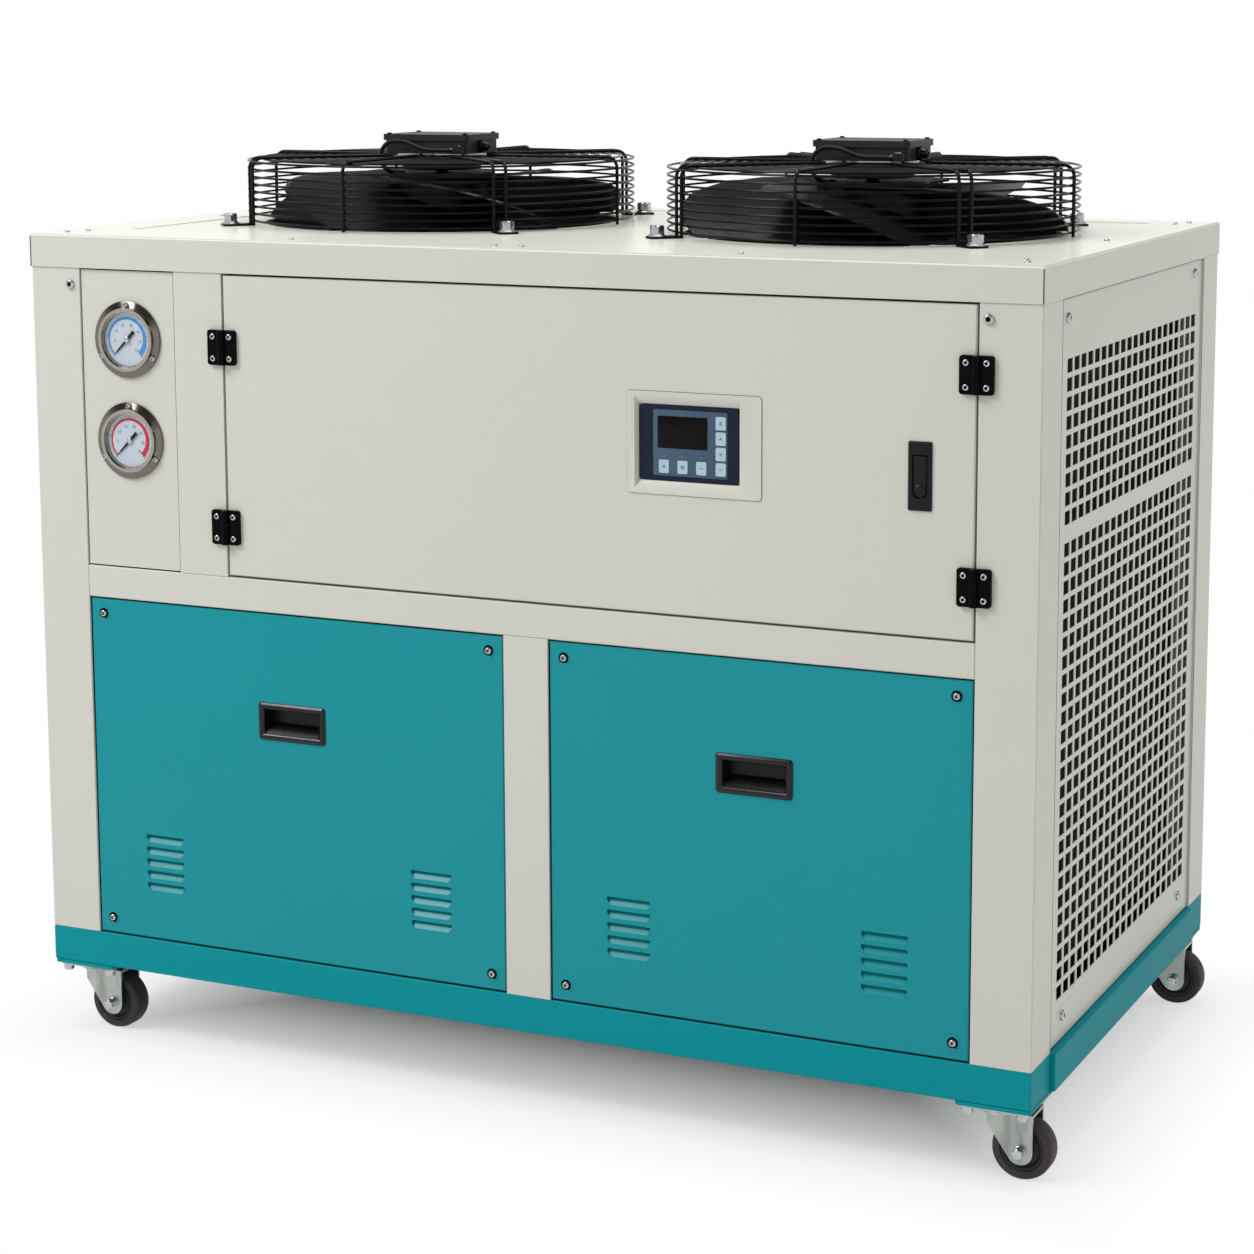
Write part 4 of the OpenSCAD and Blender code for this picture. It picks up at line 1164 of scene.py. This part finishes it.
@dataclass
class GaugePair:
    """Two panel pressure gauges with printed dials."""

    x: float = GAUGE_X
    low_z: float = GAUGE_Z[0]
    high_z: float = GAUGE_Z[1]
    low_top: int = 35
    high_top: int = 14
    flange_y: float = -421.0
    dial_y: float = -420.0
    dial_r: float = 37.0
    flange_screw_r: float = 48.5
    start: float = 225.0
    sweep: float = 270.0
    ink: float = 0.12
    majors: int = 10
    minors: int = 5
    number_count: int = 8
    number_size: float = 6.0
    number_r: float = 0.56
    number_t: float = 0.05
    band: Point = (0.79, 0.14, 0.86)
    cap: tuple[tuple[float, float], ...] = ((4.0, 4.2), (4.0, 5.0), (3.2, 5.6), (0, 5.8))
    cap_in: float = 2.0
    screw: Screw = Screw(8.0, 3.6)
    screw_turns: tuple[float, ...] = (90.0, 210.0, 330.0)

    def dress(self) -> None:
        """Gives the CAD parts their finishes."""
        paint(Coat.BRIGHT, "gauge_cases", edge=1.0)
        paint(Coat.CARD, "gauge_dials")
        paint(Coat.INK, "gauge_needles")
        paint(Coat.GLASS, "gauge_lenses")

    def build(self) -> None:
        """Makes the bands, scales, pointer caps, flange screws and numbers."""
        marks, screws = Former(), Former()
        for name, z, finish in (("lower", self.low_z, Coat.RED), ("upper", self.high_z, Coat.BLUE)):
            place = Side.FRONT.at((self.x, self.dial_y, z))
            self._band(place).make(f"{name}_gauge_band", finish, "cabinet", "dial_white")
            self._scale(marks, place)
            screws.turned(self.cap, Side.FRONT.at((self.x, self.dial_y + self.cap_in, z)))
            for a in self.screw_turns:
                t, r = math.radians(a), self.flange_screw_r
                spot = (self.x + r * math.cos(t), self.flange_y, z + r * math.sin(t))
                self.screw.form(screws, Side.FRONT.at(spot, a))
        marks.make("gauge_scales", Coat.INK, "cabinet", "dial_white")
        screws.make("gauge_screws", Coat.SCREW, "cabinet", "chrome")
        self._numbers()

    def _angle(self, share: float) -> float:
        """Angle of a share of the scale, in radians."""
        return math.radians(self.start - self.sweep * share)

    def _arc(self, former: Former, place: Matrix, inner: Callable[[float], float],
             outer: Callable[[float], float], steps: int = 48) -> None:
        """Adds a flat printed arc.

        Args:
            former: takes its faces.
            place: the dial's middle.
            inner: inner radius at a share of the scale.
            outer: outer radius at a share of the scale.
            steps: parts of the arc.
        """
        loops = []
        for i in range(steps + 1):
            share = i / steps
            a = self._angle(share)
            ring = [(inner(share), 0), (outer(share), 0), (outer(share), self.ink), (inner(share), self.ink)]
            loops.append([Vector((r * math.cos(a), r * math.sin(a), z)) for r, z in ring])
        former.loft(loops, place)

    def _band(self, place: Matrix) -> Former:
        """Prints the coloured band, which widens along the scale.

        Args:
            place: the dial's middle.

        Returns:
            The band.
        """
        former = Former()
        inner, growth, outer = self.band
        self._arc(former, place, lambda s: self.dial_r * (inner - growth * s * s), lambda s: self.dial_r * outer)
        return former

    def _scale(self, marks: Former, place: Matrix) -> None:
        """Adds the ticks of one dial.

        Args:
            marks: takes their faces.
            place: the dial's middle.
        """
        count = self.majors * self.minors
        for i in range(count + 1):
            a = self._angle(i / count)
            long = i % self.minors == 0
            inner, outer = self.dial_r * (0.80 if long else 0.87), self.dial_r * 0.95
            half = 0.35 if long else 0.18
            spot = place @ Matrix.Rotation(a, 4, "Z") @ Matrix.Translation(((inner + outer) / 2, 0, 0))
            marks.boss(RoundRect(outer - inner, 2 * half, 0.1, 1), ((0, 0), (0, self.ink)), spot)

    def _numbers(self) -> None:
        """Makes the plain numbers of both dials."""
        for name, z, top in (("lower", self.low_z, self.low_top), ("upper", self.high_z, self.high_top)):
            for i in range(self.number_count):
                share = i / (self.number_count - 1)
                a = self._angle(share)
                text = bpy.data.curves.new(f"{name}_number_{i}", "FONT")
                text.body = str(round(top * share))
                text.size, text.align_x, text.align_y = self.number_size * MM, "CENTER", "CENTER"
                text.extrude = self.number_t * MM
                text.materials.append(Coat.INK.material())
                number = bpy.data.objects.new(text.name, text)
                bpy.context.scene.collection.objects.link(number)
                r = self.dial_r * self.number_r
                spot = (self.x + r * math.cos(a), self.dial_y - self.number_t, z + r * math.sin(a))
                place = Side.FRONT.at(spot)
                number.matrix_world = Matrix.Translation(place.translation * MM) @ place.to_3x3().to_4x4()
                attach(number, "cabinet")


# Control door


@dataclass
class ControlDoor:
    """Hinged door with its bezel, controller, latch and hinge screws."""

    unit_y: float = -415.5
    bezel: tuple[float, float, float, float] = (279.0, 915.0, 186.0, 132.0)
    bezel_corner: float = 5.0
    seam_w: float = 0.6
    face_y: float = -420.0
    pad_sink: float = 1.0
    pad: tuple[float, float, float, float] = (271.8, 915.0, 103.2, 85.2)
    screen: tuple[float, float, float, float] = (261.3, 929.0, 69.4, 41.4)
    key_y: float = -416.1
    key_column: tuple[float, float, float] = (314.4, 884.7, 19.6)
    key_row: tuple[float, float, float] = (235.6, 884.7, 25.94)
    hinge_x: tuple[float, float] = (-421.5, 653.5)
    hinge_z: tuple[tuple[float, float], tuple[float, float]] = ((761.0, 1009.0), (761.0, 1022.0))
    hinge_screw: tuple[float, float] = (13.0, 15.0)
    leaf_y: float = -425.0
    screw: Screw = Screw(8.6, 2.6, Drive.SOCKET)
    latch: tuple[float, float, float, float] = (582.0, 894.0, 31.0, 86.0)
    lever: tuple[float, float, float] = (892.9, 17.6, 52.2)
    lever_gap: float = 0.7
    lever_room: float = 0.8
    case_rim: tuple[tuple[float, float], ...] = ((0, 0), (0, 1.4), (0.2, 1.7), (1.7, 2.9), (2.0, 3.0))
    case_bay: tuple[tuple[float, float], ...] = ((-0.7, 3.0), (0, 2.4), (0, -4.0))
    tongue: tuple[tuple[float, float], ...] = ((0, -2.4), (0, 1.3), (0.15, 1.5), (1.5, 2.5), (1.8, 2.6))
    push: tuple[tuple[float, float], ...] = ((0, 2.3), (0, 2.6), (1.1, 3.5), (1.5, 3.6), (3.2, 3.1))
    print_t: tuple[tuple[float, float], ...] = ((0, -0.02), (0, 0.08))

    def dress(self) -> None:
        """Gives the CAD parts their finishes."""
        paint(Coat.CREAM, "control_door", "door_returns")
        paint(Coat.BEZEL, "control_bezel", edge=0.4)
        paint(Coat.NAVY, "controller", edge=0.5)
        paint(Coat.KEY, "controller_keys", edge=0.3)
        paint(Coat.STOVED, "frame_hinge_leaves", "door_hinge_leaves", edge=0.8)

    def build(self) -> None:
        """Makes the keypad, display, key marks, hinge screws, latch and a painted shade line round the bezel."""
        self._keypad()
        self._key_marks()
        self._hinge_screws()
        self._latch()
        # Painted shade: a thin dark ring round the bezel stands in for the shade in its gap.
        x, z, w, h = self.bezel
        outer = RoundRect(w + 2 * self.seam_w, h + 2 * self.seam_w, self.bezel_corner + self.seam_w)
        seam = Former().frame(outer, RoundRect(w, h, self.bezel_corner), 0.15, Side.FRONT.at((x, self.face_y, z)))
        seam.make("bezel_seam_shade", Coat.SEAM, "control_door", "bezel_plastic")

    def _keypad(self) -> None:
        """The keypad film and the display glass."""
        floor = self.unit_y + self.pad_sink
        x, z, w, h = self.pad
        Former().boss(RoundRect(w, h, 3), ((0, 0), (0, 0.6), (0.3, 0.8)), Side.FRONT.at((x, floor, z))).make(
            "keypad_film", Coat.PLATE, "control_door", "controller_navy")
        x, z, w, h = self.screen
        Former().boss(RoundRect(w, h, 1.5), ((0, 0), (0, 1.0), (0.4, 1.3)), Side.FRONT.at((x, floor, z))).make(
            "display_glass", Coat.SCREEN, "control_door", "controller_navy")

    def _key_marks(self) -> None:
        """Plain printed marks on the keys and small dots above the lower row."""
        marks, flat = Former(), self.print_t
        x, z, pitch = self.key_column
        bar, arrow, dot = RoundRect(5.4, 1.2, 0.3), Sides(2.8, 3), Disc(2.2)
        for i, (shape, turn) in enumerate(((bar, 0), (arrow, 180), (arrow, 0), (dot, 0))):
            marks.boss(shape, flat, Side.FRONT.at((x, self.key_y, z + i * pitch), turn))
        x, z, pitch = self.key_row
        floor = self.unit_y + self.pad_sink - 0.8
        for i, shape in enumerate((Disc(2.0), RoundRect(4.4, 4.4, 0.5), RoundRect(5.0, 1.4, 0.4))):
            marks.boss(shape, flat, Side.FRONT.at((x + i * pitch, self.key_y, z)))
            marks.boss(Disc(1.1), flat, Side.FRONT.at((x + i * pitch, floor, z + 13.0)))
        marks.make("key_marks", Coat.MARK, "control_door", "controller_navy")

    def _latch(self) -> None:
        """The latch: a frame with a bay, and the lever with its round push."""
        x, z, w, h = self.latch
        lever_z, lw, lh = self.lever
        border, gap = RoundRect(w, h, 2.0), 2 * self.lever_gap
        bay = RoundRect(lw + gap, lh + gap + self.lever_room, 1.2, foot=(lw + gap) / 2)
        drop = Vector((0, lever_z + self.lever_room / 2 - z, 0))
        loops = [border.loop(inset, depth) for inset, depth in self.case_rim]
        loops += [[point + drop for point in bay.loop(inset, depth)] for inset, depth in self.case_bay]
        case = Former().loft(loops, Side.FRONT.at((x, self.face_y, z)), caps=(False, True)).make(
            "latch_case", Coat.LATCH, "control_door", "black_steel", 30)
        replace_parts(case, "latch_frame")
        tongue = RoundRect(lw, lh, 0.9, foot=lw / 2)
        grip = Former().boss(tongue, self.tongue, Side.FRONT.at((x, self.face_y, lever_z)))
        push = Side.FRONT.at((x, self.face_y, lever_z - lh / 2 + lw / 2))
        grip.boss(Disc(lw / 2 - 1.0), self.push, push)
        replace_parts(grip.make("latch_grip", Coat.LATCH, "latch_lever", "black_steel", 30), "latch_lever")

    def _hinge_screws(self) -> None:
        """Four socket screws on each hinge."""
        across, up = self.hinge_screw
        fixed, moving, sockets = Former(), Former(), {"cabinet": Former(), "control_door": Former()}
        for x, outward, heights in zip(self.hinge_x, (-1, 1), self.hinge_z):
            for z in heights:
                for s in (-1, 1):
                    for former, body, way in ((fixed, "cabinet", outward), (moving, "control_door", -outward)):
                        place = Side.FRONT.at((x + way * across, self.leaf_y, z + s * up), 10 * s)
                        self.screw.form(former, place)
                        self.screw.shade(sockets[body], place)
        fixed.make("frame_hinge_screws", Coat.SCREW, "cabinet", "chrome")
        moving.make("door_hinge_screws", Coat.SCREW, "control_door", "chrome")
        # Painted shade on the floors of the hinge screws' sockets.
        for body, former in sockets.items():
            former.make(f"{body}_hinge_socket_shade", Coat.SOCKET, body, "black_hardware")


# Fans


@dataclass
class RoofFan:
    """One roof fan: wire guard, foot bolts, terminal box fittings and motor lead."""

    side: str
    x: float
    y: float = 55.0
    z: float = 1155.0
    guard_r: float = 290.0
    guard_h: float = 100.0
    side_rings: int = 9
    top_rings: int = 11
    ring_d: float = 3.4
    leg_d: float = 5.0
    leg_pair: float = 18.0
    foot_r: float = 319.0
    plate_r: float = 88.0
    bend_r: float = 16.0
    box: tuple[float, float, float] = (142.0, 104.0, 28.0)
    bolt: HexBolt = HexBolt(18.0, 10.5, 25.0)
    lead_d: float = 6.0
    lead_from: Point = (-40.5, -40.5, -29.0)
    lead_bend: float = 24.0
    lead_sag: float = 70.0
    lead_rest: float = 6.0
    elbow: tuple[float, float] = (50.0, -57.0)
    box_screw: Screw = Screw(7.0, 2.0)
    box_screw_in: float = 8.0
    foot_over: float = 13.0
    ring_steps: int = 96

    def dress(self) -> None:
        """Gives the fan's CAD parts their finishes."""
        paint(Coat.BLADE, f"{self.side}_fan_rotor")

    def build(self) -> None:
        """Makes the guard, bolts, terminal box fittings and motor lead."""
        guard = self._guard().make(f"{self.side}_wire_guard", Coat.WIRE, "cabinet", "guard_wire", 50)
        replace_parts(guard, f"{self.side}_fan_guard")
        bolts = Former()
        for a in QUARTERS:
            t = math.radians(45 + 90 * a)
            spot = (self.x + self.foot_r * math.cos(t), self.y + self.foot_r * math.sin(t), self.z + 3)
            self.bolt.form(bolts, Side.TOP.at(spot, 17 * a))
        bolts.make(f"{self.side}_guard_bolts", Coat.BOLT, "cabinet", "zinc_plate")
        self._box_fittings()
        self._lead()

    def _spot(self, x: float, y: float, z: float) -> Vector:
        """Point given from the middle of the guard's top."""
        return Vector((self.x + x, self.y + y, self.z + self.guard_h + z))

    def _box_fittings(self) -> None:
        """Lid screws, the side gland and the elbow that takes the motor lead."""
        w, d, h = self.box
        screws, fittings = Former(), Former()
        for sx, sy in CORNERS:
            spot = self._spot(sx * (w / 2 - self.box_screw_in), sy * (d / 2 - self.box_screw_in), h)
            self.box_screw.form(screws, Side.TOP.at(spot, 30 * sx))
        screws.make(f"{self.side}_box_screws", Coat.STOVED, "cabinet", "black_steel")
        gland = Side.RIGHT.at(self._spot(w / 2 - 3, -6, 10))
        fittings.boss(Hexagon(17), ((0, -0.5), (0, 4.5), (0.9, 5.2)), gland)
        fittings.turned(((7.0, 5.0), (7.0, 11.0), (6.2, 13.5), (4.5, 14.8), (3.2, 14.8), (3.2, 12.0), (0, 12.0)), gland)
        x, y = self.elbow
        block = Side.TOP.at(self._spot(x + 8, y + 1, 0.3))
        fittings.boss(RoundRect(15, 14, 4), ((0.6, 0), (0, 0.6), (0, 11.5), (2.0, 13.2)), block)
        nose = Side.LEFT.at(self._spot(x + 1, y, self.lead_rest))
        fittings.turned(((5.2, -0.5), (5.2, 4.5), (4.6, 6.0), (3.2, 6.4)), nose)
        fittings.make(f"{self.side}_box_glands", Coat.HARDWARE, "cabinet", "black_hardware")

    def _lead(self) -> None:
        """The motor lead: out between the guard's wires, up in an arch and down into the elbow."""
        start, up = self._spot(*self.lead_from), Vector((0, 0, 1))
        out = Vector((self.lead_from[0], self.lead_from[1], 0)).normalized()
        route = Route([start], out).straight(12.0).bend(self.lead_bend, 90, up)
        foot = route.points[-1]
        end = self._spot(*self.elbow, self.lead_rest)
        run = Vector((end.x - foot.x, end.y - foot.y, 0))
        along = run.normalized()
        route.bend(self.lead_bend, 90, along)
        drop = route.points[-1].z - end.z
        slope = math.degrees(math.acos(1 - drop / (2 * self.lead_sag)))
        route.bend(self.lead_sag, slope, -up).bend(self.lead_sag, slope, up)
        route.straight((end - route.points[-1]).length)
        name = f"{self.side}_motor_lead"
        lead = Former().tube(route.points, self.lead_d / 2, 10).make(name, Coat.LEAD, "cabinet", "black_hardware")
        route.length() * MM
        [tuple(p * MM) for p in route.points]

    def _ring(self, former: Former, r: float, z: float) -> None:
        """Adds one ring of wire.

        Args:
            former: takes its faces.
            r: radius of the ring.
            z: its height above the lid.
        """
        path = []
        for i in range(self.ring_steps):
            a = 2 * math.pi * i / self.ring_steps
            path.append(Vector((self.x + r * math.cos(a), self.y + r * math.sin(a), self.z + z)))
        former.tube(path, self.ring_d / 2, 6, True)

    def _leg(self, former: Former, turn: float, offset: float) -> None:
        """Adds one bent wire: up the side, round the bend and in over the top.

        Args:
            former: takes its faces.
            turn: its place round the guard, in degrees.
            offset: how far it stands from that line.
        """
        out, top = self.guard_r - self.leg_d / 2, self.guard_h - self.leg_d / 2
        side = [Vector((out, offset, z)) for z in (0.5, 20.0, top - self.bend_r - 15)]
        bend = [Vector((out - self.bend_r * (1 - math.cos(a)), offset, top - self.bend_r * (1 - math.sin(a))))
                for a in (math.radians(15 * i) for i in range(7))]
        over = [Vector((r, offset, top)) for r in (out - self.bend_r - 20, 160.0, self.plate_r - 12)]
        place = Matrix.Translation((self.x, self.y, self.z)) @ Matrix.Rotation(math.radians(turn), 4, "Z")
        former.tube([place @ p for p in side + bend + over], self.leg_d / 2, 8)

    def _guard(self) -> Former:
        """Forms the wire guard with its feet and middle plate.

        Returns:
            The guard.
        """
        former = Former()
        ring_r = self.guard_r - self.leg_d - 0.6
        z_bar = self.guard_h - self.leg_d
        for i in range(self.side_rings):
            self._ring(former, ring_r, self.leg_d + 1.5 + i * (z_bar - 2 * self.leg_d) / (self.side_rings - 1))
        for i in range(self.top_rings):
            r = self.plate_r + 12.5 + i * (ring_r - self.plate_r - 14) / self.top_rings
            self._ring(former, r, z_bar - 0.6)
        reach = self.foot_r + self.foot_over
        for a in QUARTERS:
            for s in (-1, 1):
                self._leg(former, 45 + 90 * a, s * self.leg_pair / 2)
            self._leg(former, 90 * a, 0)
            t = math.radians(45 + 90 * a)
            mid = (self.guard_r - self.leg_d + reach) / 2
            foot = Side.TOP.at((self.x + mid * math.cos(t), self.y + mid * math.sin(t), self.z), 45 + 90 * a)
            long = reach - self.guard_r + self.leg_d
            former.boss(RoundRect(long, self.leg_pair + 2 * self.leg_d, 5), ((0, 0), (0, 2.6), (0.4, 3.0)), foot)
        r = self.plate_r
        former.turned(((r - 2, z_bar - 2), (r, z_bar - 1.5), (r, z_bar + 0.6), (r - 0.6, z_bar + 1), (0, z_bar + 1)),
                      Matrix.Translation((self.x, self.y, self.z)))
        return former


# Casters


@dataclass
class Caster:
    """One swivel caster: zinc fork, rubber tyre on a dark core, axle nuts and plate bolts."""

    corner: str
    x: float
    y: float
    trail: float = 28.0
    wheel_r: float = 40.0
    wheel_w: float = 30.0
    fork_half: float = 23.0
    pad_z: float = 96.0
    bolt_at: float = 36.0
    nut: HexBolt = HexBolt(13.0, 6.0, 17.0)
    plate_bolt: HexBolt = HexBolt(13.0, 5.0, 16.0)

    def dress(self) -> None:
        """Gives the fork its finish."""
        paint(Coat.ZINC, f"{self.corner}_fork", edge=1.0)

    def build(self) -> None:
        """Makes the wheel, axle nuts and plate bolts."""
        body = f"{self.corner}_roller"
        axle = Matrix.Translation((self.x + self.trail, self.y, self.wheel_r)) @ Matrix.Rotation(math.pi / 2, 4, "X")
        r, w = self.wheel_r, self.wheel_w / 2
        tyre = [(r - 12, -w + 3), (r - 11, -w + 0.6), (r - 9, -w), (r - 4.5, -w), (r - 1.4, -w + 1.6), (r, -w + 6),
                (r, w - 6), (r - 1.4, w - 1.6), (r - 4.5, w), (r - 9, w), (r - 11, w - 0.6), (r - 12, w - 3)]
        tread = Former().turned(tyre + [tyre[0]], axle).make(f"{self.corner}_tyre", Coat.TYRE, body, "wheel_rubber")
        core = [(6.2, -w - 3), (11, -w - 3), (12, -w - 2), (13, -w + 4), (22, -w + 5), (25, -w + 2), (r - 12, -w + 2),
                (r - 11.8, 0), (r - 12, w - 2), (25, w - 2), (22, w - 5), (13, w - 4), (12, w + 2), (11, w + 3),
                (6.2, w + 3)]
        hub = Former().turned(core + [core[0]], axle).make(f"{self.corner}_wheel_core", Coat.CORE, body, "wheel_rubber")
        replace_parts(tread, f"{self.corner}_wheel")
        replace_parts(hub, f"{self.corner}_wheel")
        nuts, bolts = Former(), Former()
        for s, side in ((-1, Side.FRONT), (1, Side.REAR)):
            spot = (self.x + self.trail, self.y + s * self.fork_half, self.wheel_r)
            self.nut.form(nuts, side.at(spot))
        nuts.make(f"{self.corner}_axle_nuts", Coat.SCREW, f"{self.corner}_caster", "zinc_plate")
        for sx, sy in CORNERS:
            spot = (self.x + sx * self.bolt_at, self.y + sy * self.bolt_at, self.pad_z)
            self.plate_bolt.form(bolts, Side.UNDER.at(spot))
        bolts.make(f"{self.corner}_plate_bolts", Coat.SCREW, "cabinet", "zinc_plate")


# Studio


@dataclass
class Viewpoint:
    """The camera of the picture."""

    at: Point = (1772.7, -3783.4, 1444.7)
    azimuth: float = 25.261
    elevation: float = 8.478
    roll: float = -0.24
    focal_px: float = 2938.7
    axis_px: tuple[float, float] = (627.0, 460.0)
    sensor_mm: float = 36.0

    def build(self) -> None:
        """Makes the camera."""
        data = bpy.data.cameras.new("camera")
        data.sensor_width = self.sensor_mm
        data.lens = self.focal_px / IMAGE_PX * self.sensor_mm
        data.shift_x = (IMAGE_PX / 2 - self.axis_px[0]) / IMAGE_PX
        data.shift_y = (self.axis_px[1] - IMAGE_PX / 2) / IMAGE_PX
        data.clip_start, data.clip_end = 0.1, 200.0
        a, e, r = (math.radians(v) for v in (self.azimuth, self.elevation, self.roll))
        back = Vector((math.sin(a) * math.cos(e), -math.cos(a) * math.cos(e), math.sin(e)))
        right = Vector((0, 0, 1)).cross(back).normalized()
        axes = Matrix((right, back.cross(right), back)).transposed().to_4x4()
        camera = bpy.data.objects.new("camera", data)
        bpy.context.scene.collection.objects.link(camera)
        camera.matrix_world = Matrix.Translation(Vector(self.at) * MM) @ axes @ Matrix.Rotation(r, 4, "Z")
        bpy.context.scene.camera = camera


@dataclass
class Lamp:
    """A soft rectangular lamp that faces a point."""

    name: str
    at: Point
    watts: float
    width: float
    height: float
    towards: Point = (0.0, 0.0, 0.6)

    def build(self) -> None:
        """Makes the lamp."""
        data = bpy.data.lights.new(self.name, "AREA")
        data.shape, data.size, data.size_y, data.energy = "RECTANGLE", self.width, self.height, self.watts
        lamp = bpy.data.objects.new(self.name, data)
        bpy.context.scene.collection.objects.link(lamp)
        lamp.location = self.at
        lamp.rotation_mode = "QUATERNION"
        lamp.rotation_quaternion = (Vector(self.towards) - Vector(self.at)).to_track_quat("-Z", "Y")


@dataclass
class Studio:
    """White sweep, soft lamps and even fill."""

    floor_half: float = 30.0
    floor_tone: float = 0.7
    footprint: tuple[float, float] = (0.735, 0.42)
    fade: tuple[float, float] = (-0.3, 0.15)
    fill: float = 0.64
    ceiling: float = 0.12
    ceiling_from: float = 0.15
    ceiling_soft: float = 0.25
    lamps: list[Lamp] = field(default_factory=lambda: [
        Lamp("key_lamp", (-2.9, -2.9, 4.6), 205.0, 2.0, 2.0),
        Lamp("side_lamp", (4.5, -0.5, 4.0), 30.0, 2.0, 2.0),
        Lamp("top_lamp", (0.0, 0.6, 5.0), 125.0, 2.5, 2.5),
    ])

    def build(self) -> None:
        """Makes floor, world and lamps."""
        scene = bpy.context.scene
        scene.view_settings.view_transform = "Standard"
        for lamp in self.lamps:
            lamp.build()
        self._world(scene)
        self._floor(scene)

    @staticmethod
    def _seen(bench: Bench) -> Wire:
        """1 for what the camera, a mirror or a glass shows."""
        path = bench.add("ShaderNodeLightPath")
        return path.out("Is Camera Ray") | path.out("Is Glossy Ray") | path.out("Is Transmission Ray")

    def _world(self, scene: bpy.types.Scene) -> None:
        """Makes the world: white to look at up to a darker ceiling, and an even fill as light.

        Args:
            scene: the scene that it surrounds.
        """
        world = bpy.data.worlds.new("studio")
        world.use_nodes = True
        bench = Bench(world.node_tree)
        way = bench.add("ShaderNodeTexCoord").out("Generated")
        rise = bench.add("ShaderNodeSeparateXYZ", None, {0: way}).out("Z")
        overhead = ((rise - self.ceiling_from) * (1 / self.ceiling_soft)).clamp()
        wall = 1.0 - overhead * (1.0 - self.ceiling)
        strength = self._seen(bench) * (wall - self.fill) + self.fill
        light = bench.add("ShaderNodeBackground", None, {"Color": (1, 1, 1, 1), "Strength": strength}).out()
        bench.add("ShaderNodeOutputWorld", None, {"Surface": light})
        scene.world = world

    def _floor(self, scene: bpy.types.Scene) -> None:
        """Makes a pale floor that keeps the shadow near the part and fades to white away from it.

        Args:
            scene: the scene that it lies in.
        """
        h = self.floor_half
        mesh = bpy.data.meshes.new("floor")
        mesh.from_pydata([(-h, -h, 0), (h, -h, 0), (h, h, 0), (-h, h, 0)], [], [(0, 1, 2, 3)])
        floor = bpy.data.objects.new("floor", mesh)
        scene.collection.objects.link(floor)
        made = bpy.data.materials.new("floor_paper")
        made.use_nodes = True
        bench = Bench(made.node_tree)
        tone = self.floor_tone
        paper = bench.add("ShaderNodeBsdfDiffuse", None, {"Color": (tone, tone, tone, 1)}).out()
        glow = bench.add("ShaderNodeEmission", None, {"Color": (1, 1, 1, 1), "Strength": 1.0}).out()
        flat = bench.add("ShaderNodeVectorMath", {"operation": "ABSOLUTE"}, {0: bench.place()}).out()
        split = bench.add("ShaderNodeSeparateXYZ", None, {0: flat})
        away = (split.out("X") - self.footprint[0]) | (split.out("Y") - self.footprint[1])
        near, gone = self.fade
        share = ((away - near) * (1 / (gone - near))).clamp() * self._seen(bench)
        mixed = bench.add("ShaderNodeMixShader", None, {0: share, 1: paper, 2: glow}).out()
        bench.add("ShaderNodeOutputMaterial", None, {"Surface": mixed})
        mesh.materials.append(made)


def main() -> None:
    """Builds the camera, the sub-assemblies and the studio in order."""
    logging.basicConfig(level=logging.INFO, format="%(message)s")
    Viewpoint().build()
    paint(Coat.STOVED, "fan_motors")
    paint(Coat.BOX, "terminal_boxes", edge=1.5)
    paint(Coat.ZINC, "caster_plates", edge=0.8)
    fans = [RoofFan("left", -FAN_X), RoofFan("right", FAN_X)]
    assemblies: list[Any] = [Cabinet(), GaugePair(), ControlDoor(), *fans]
    assemblies += [Caster(f"{end}_{hand}", sx * CASTER_X, sy * CASTER_Y)
                   for end, sy in (("front", -1), ("rear", 1)) for hand, sx in (("left", -1), ("right", 1))]
    for assembly in assemblies:
        assembly.dress()
        assembly.build()
    Studio().build()


if __name__ == "__main__":
    main()
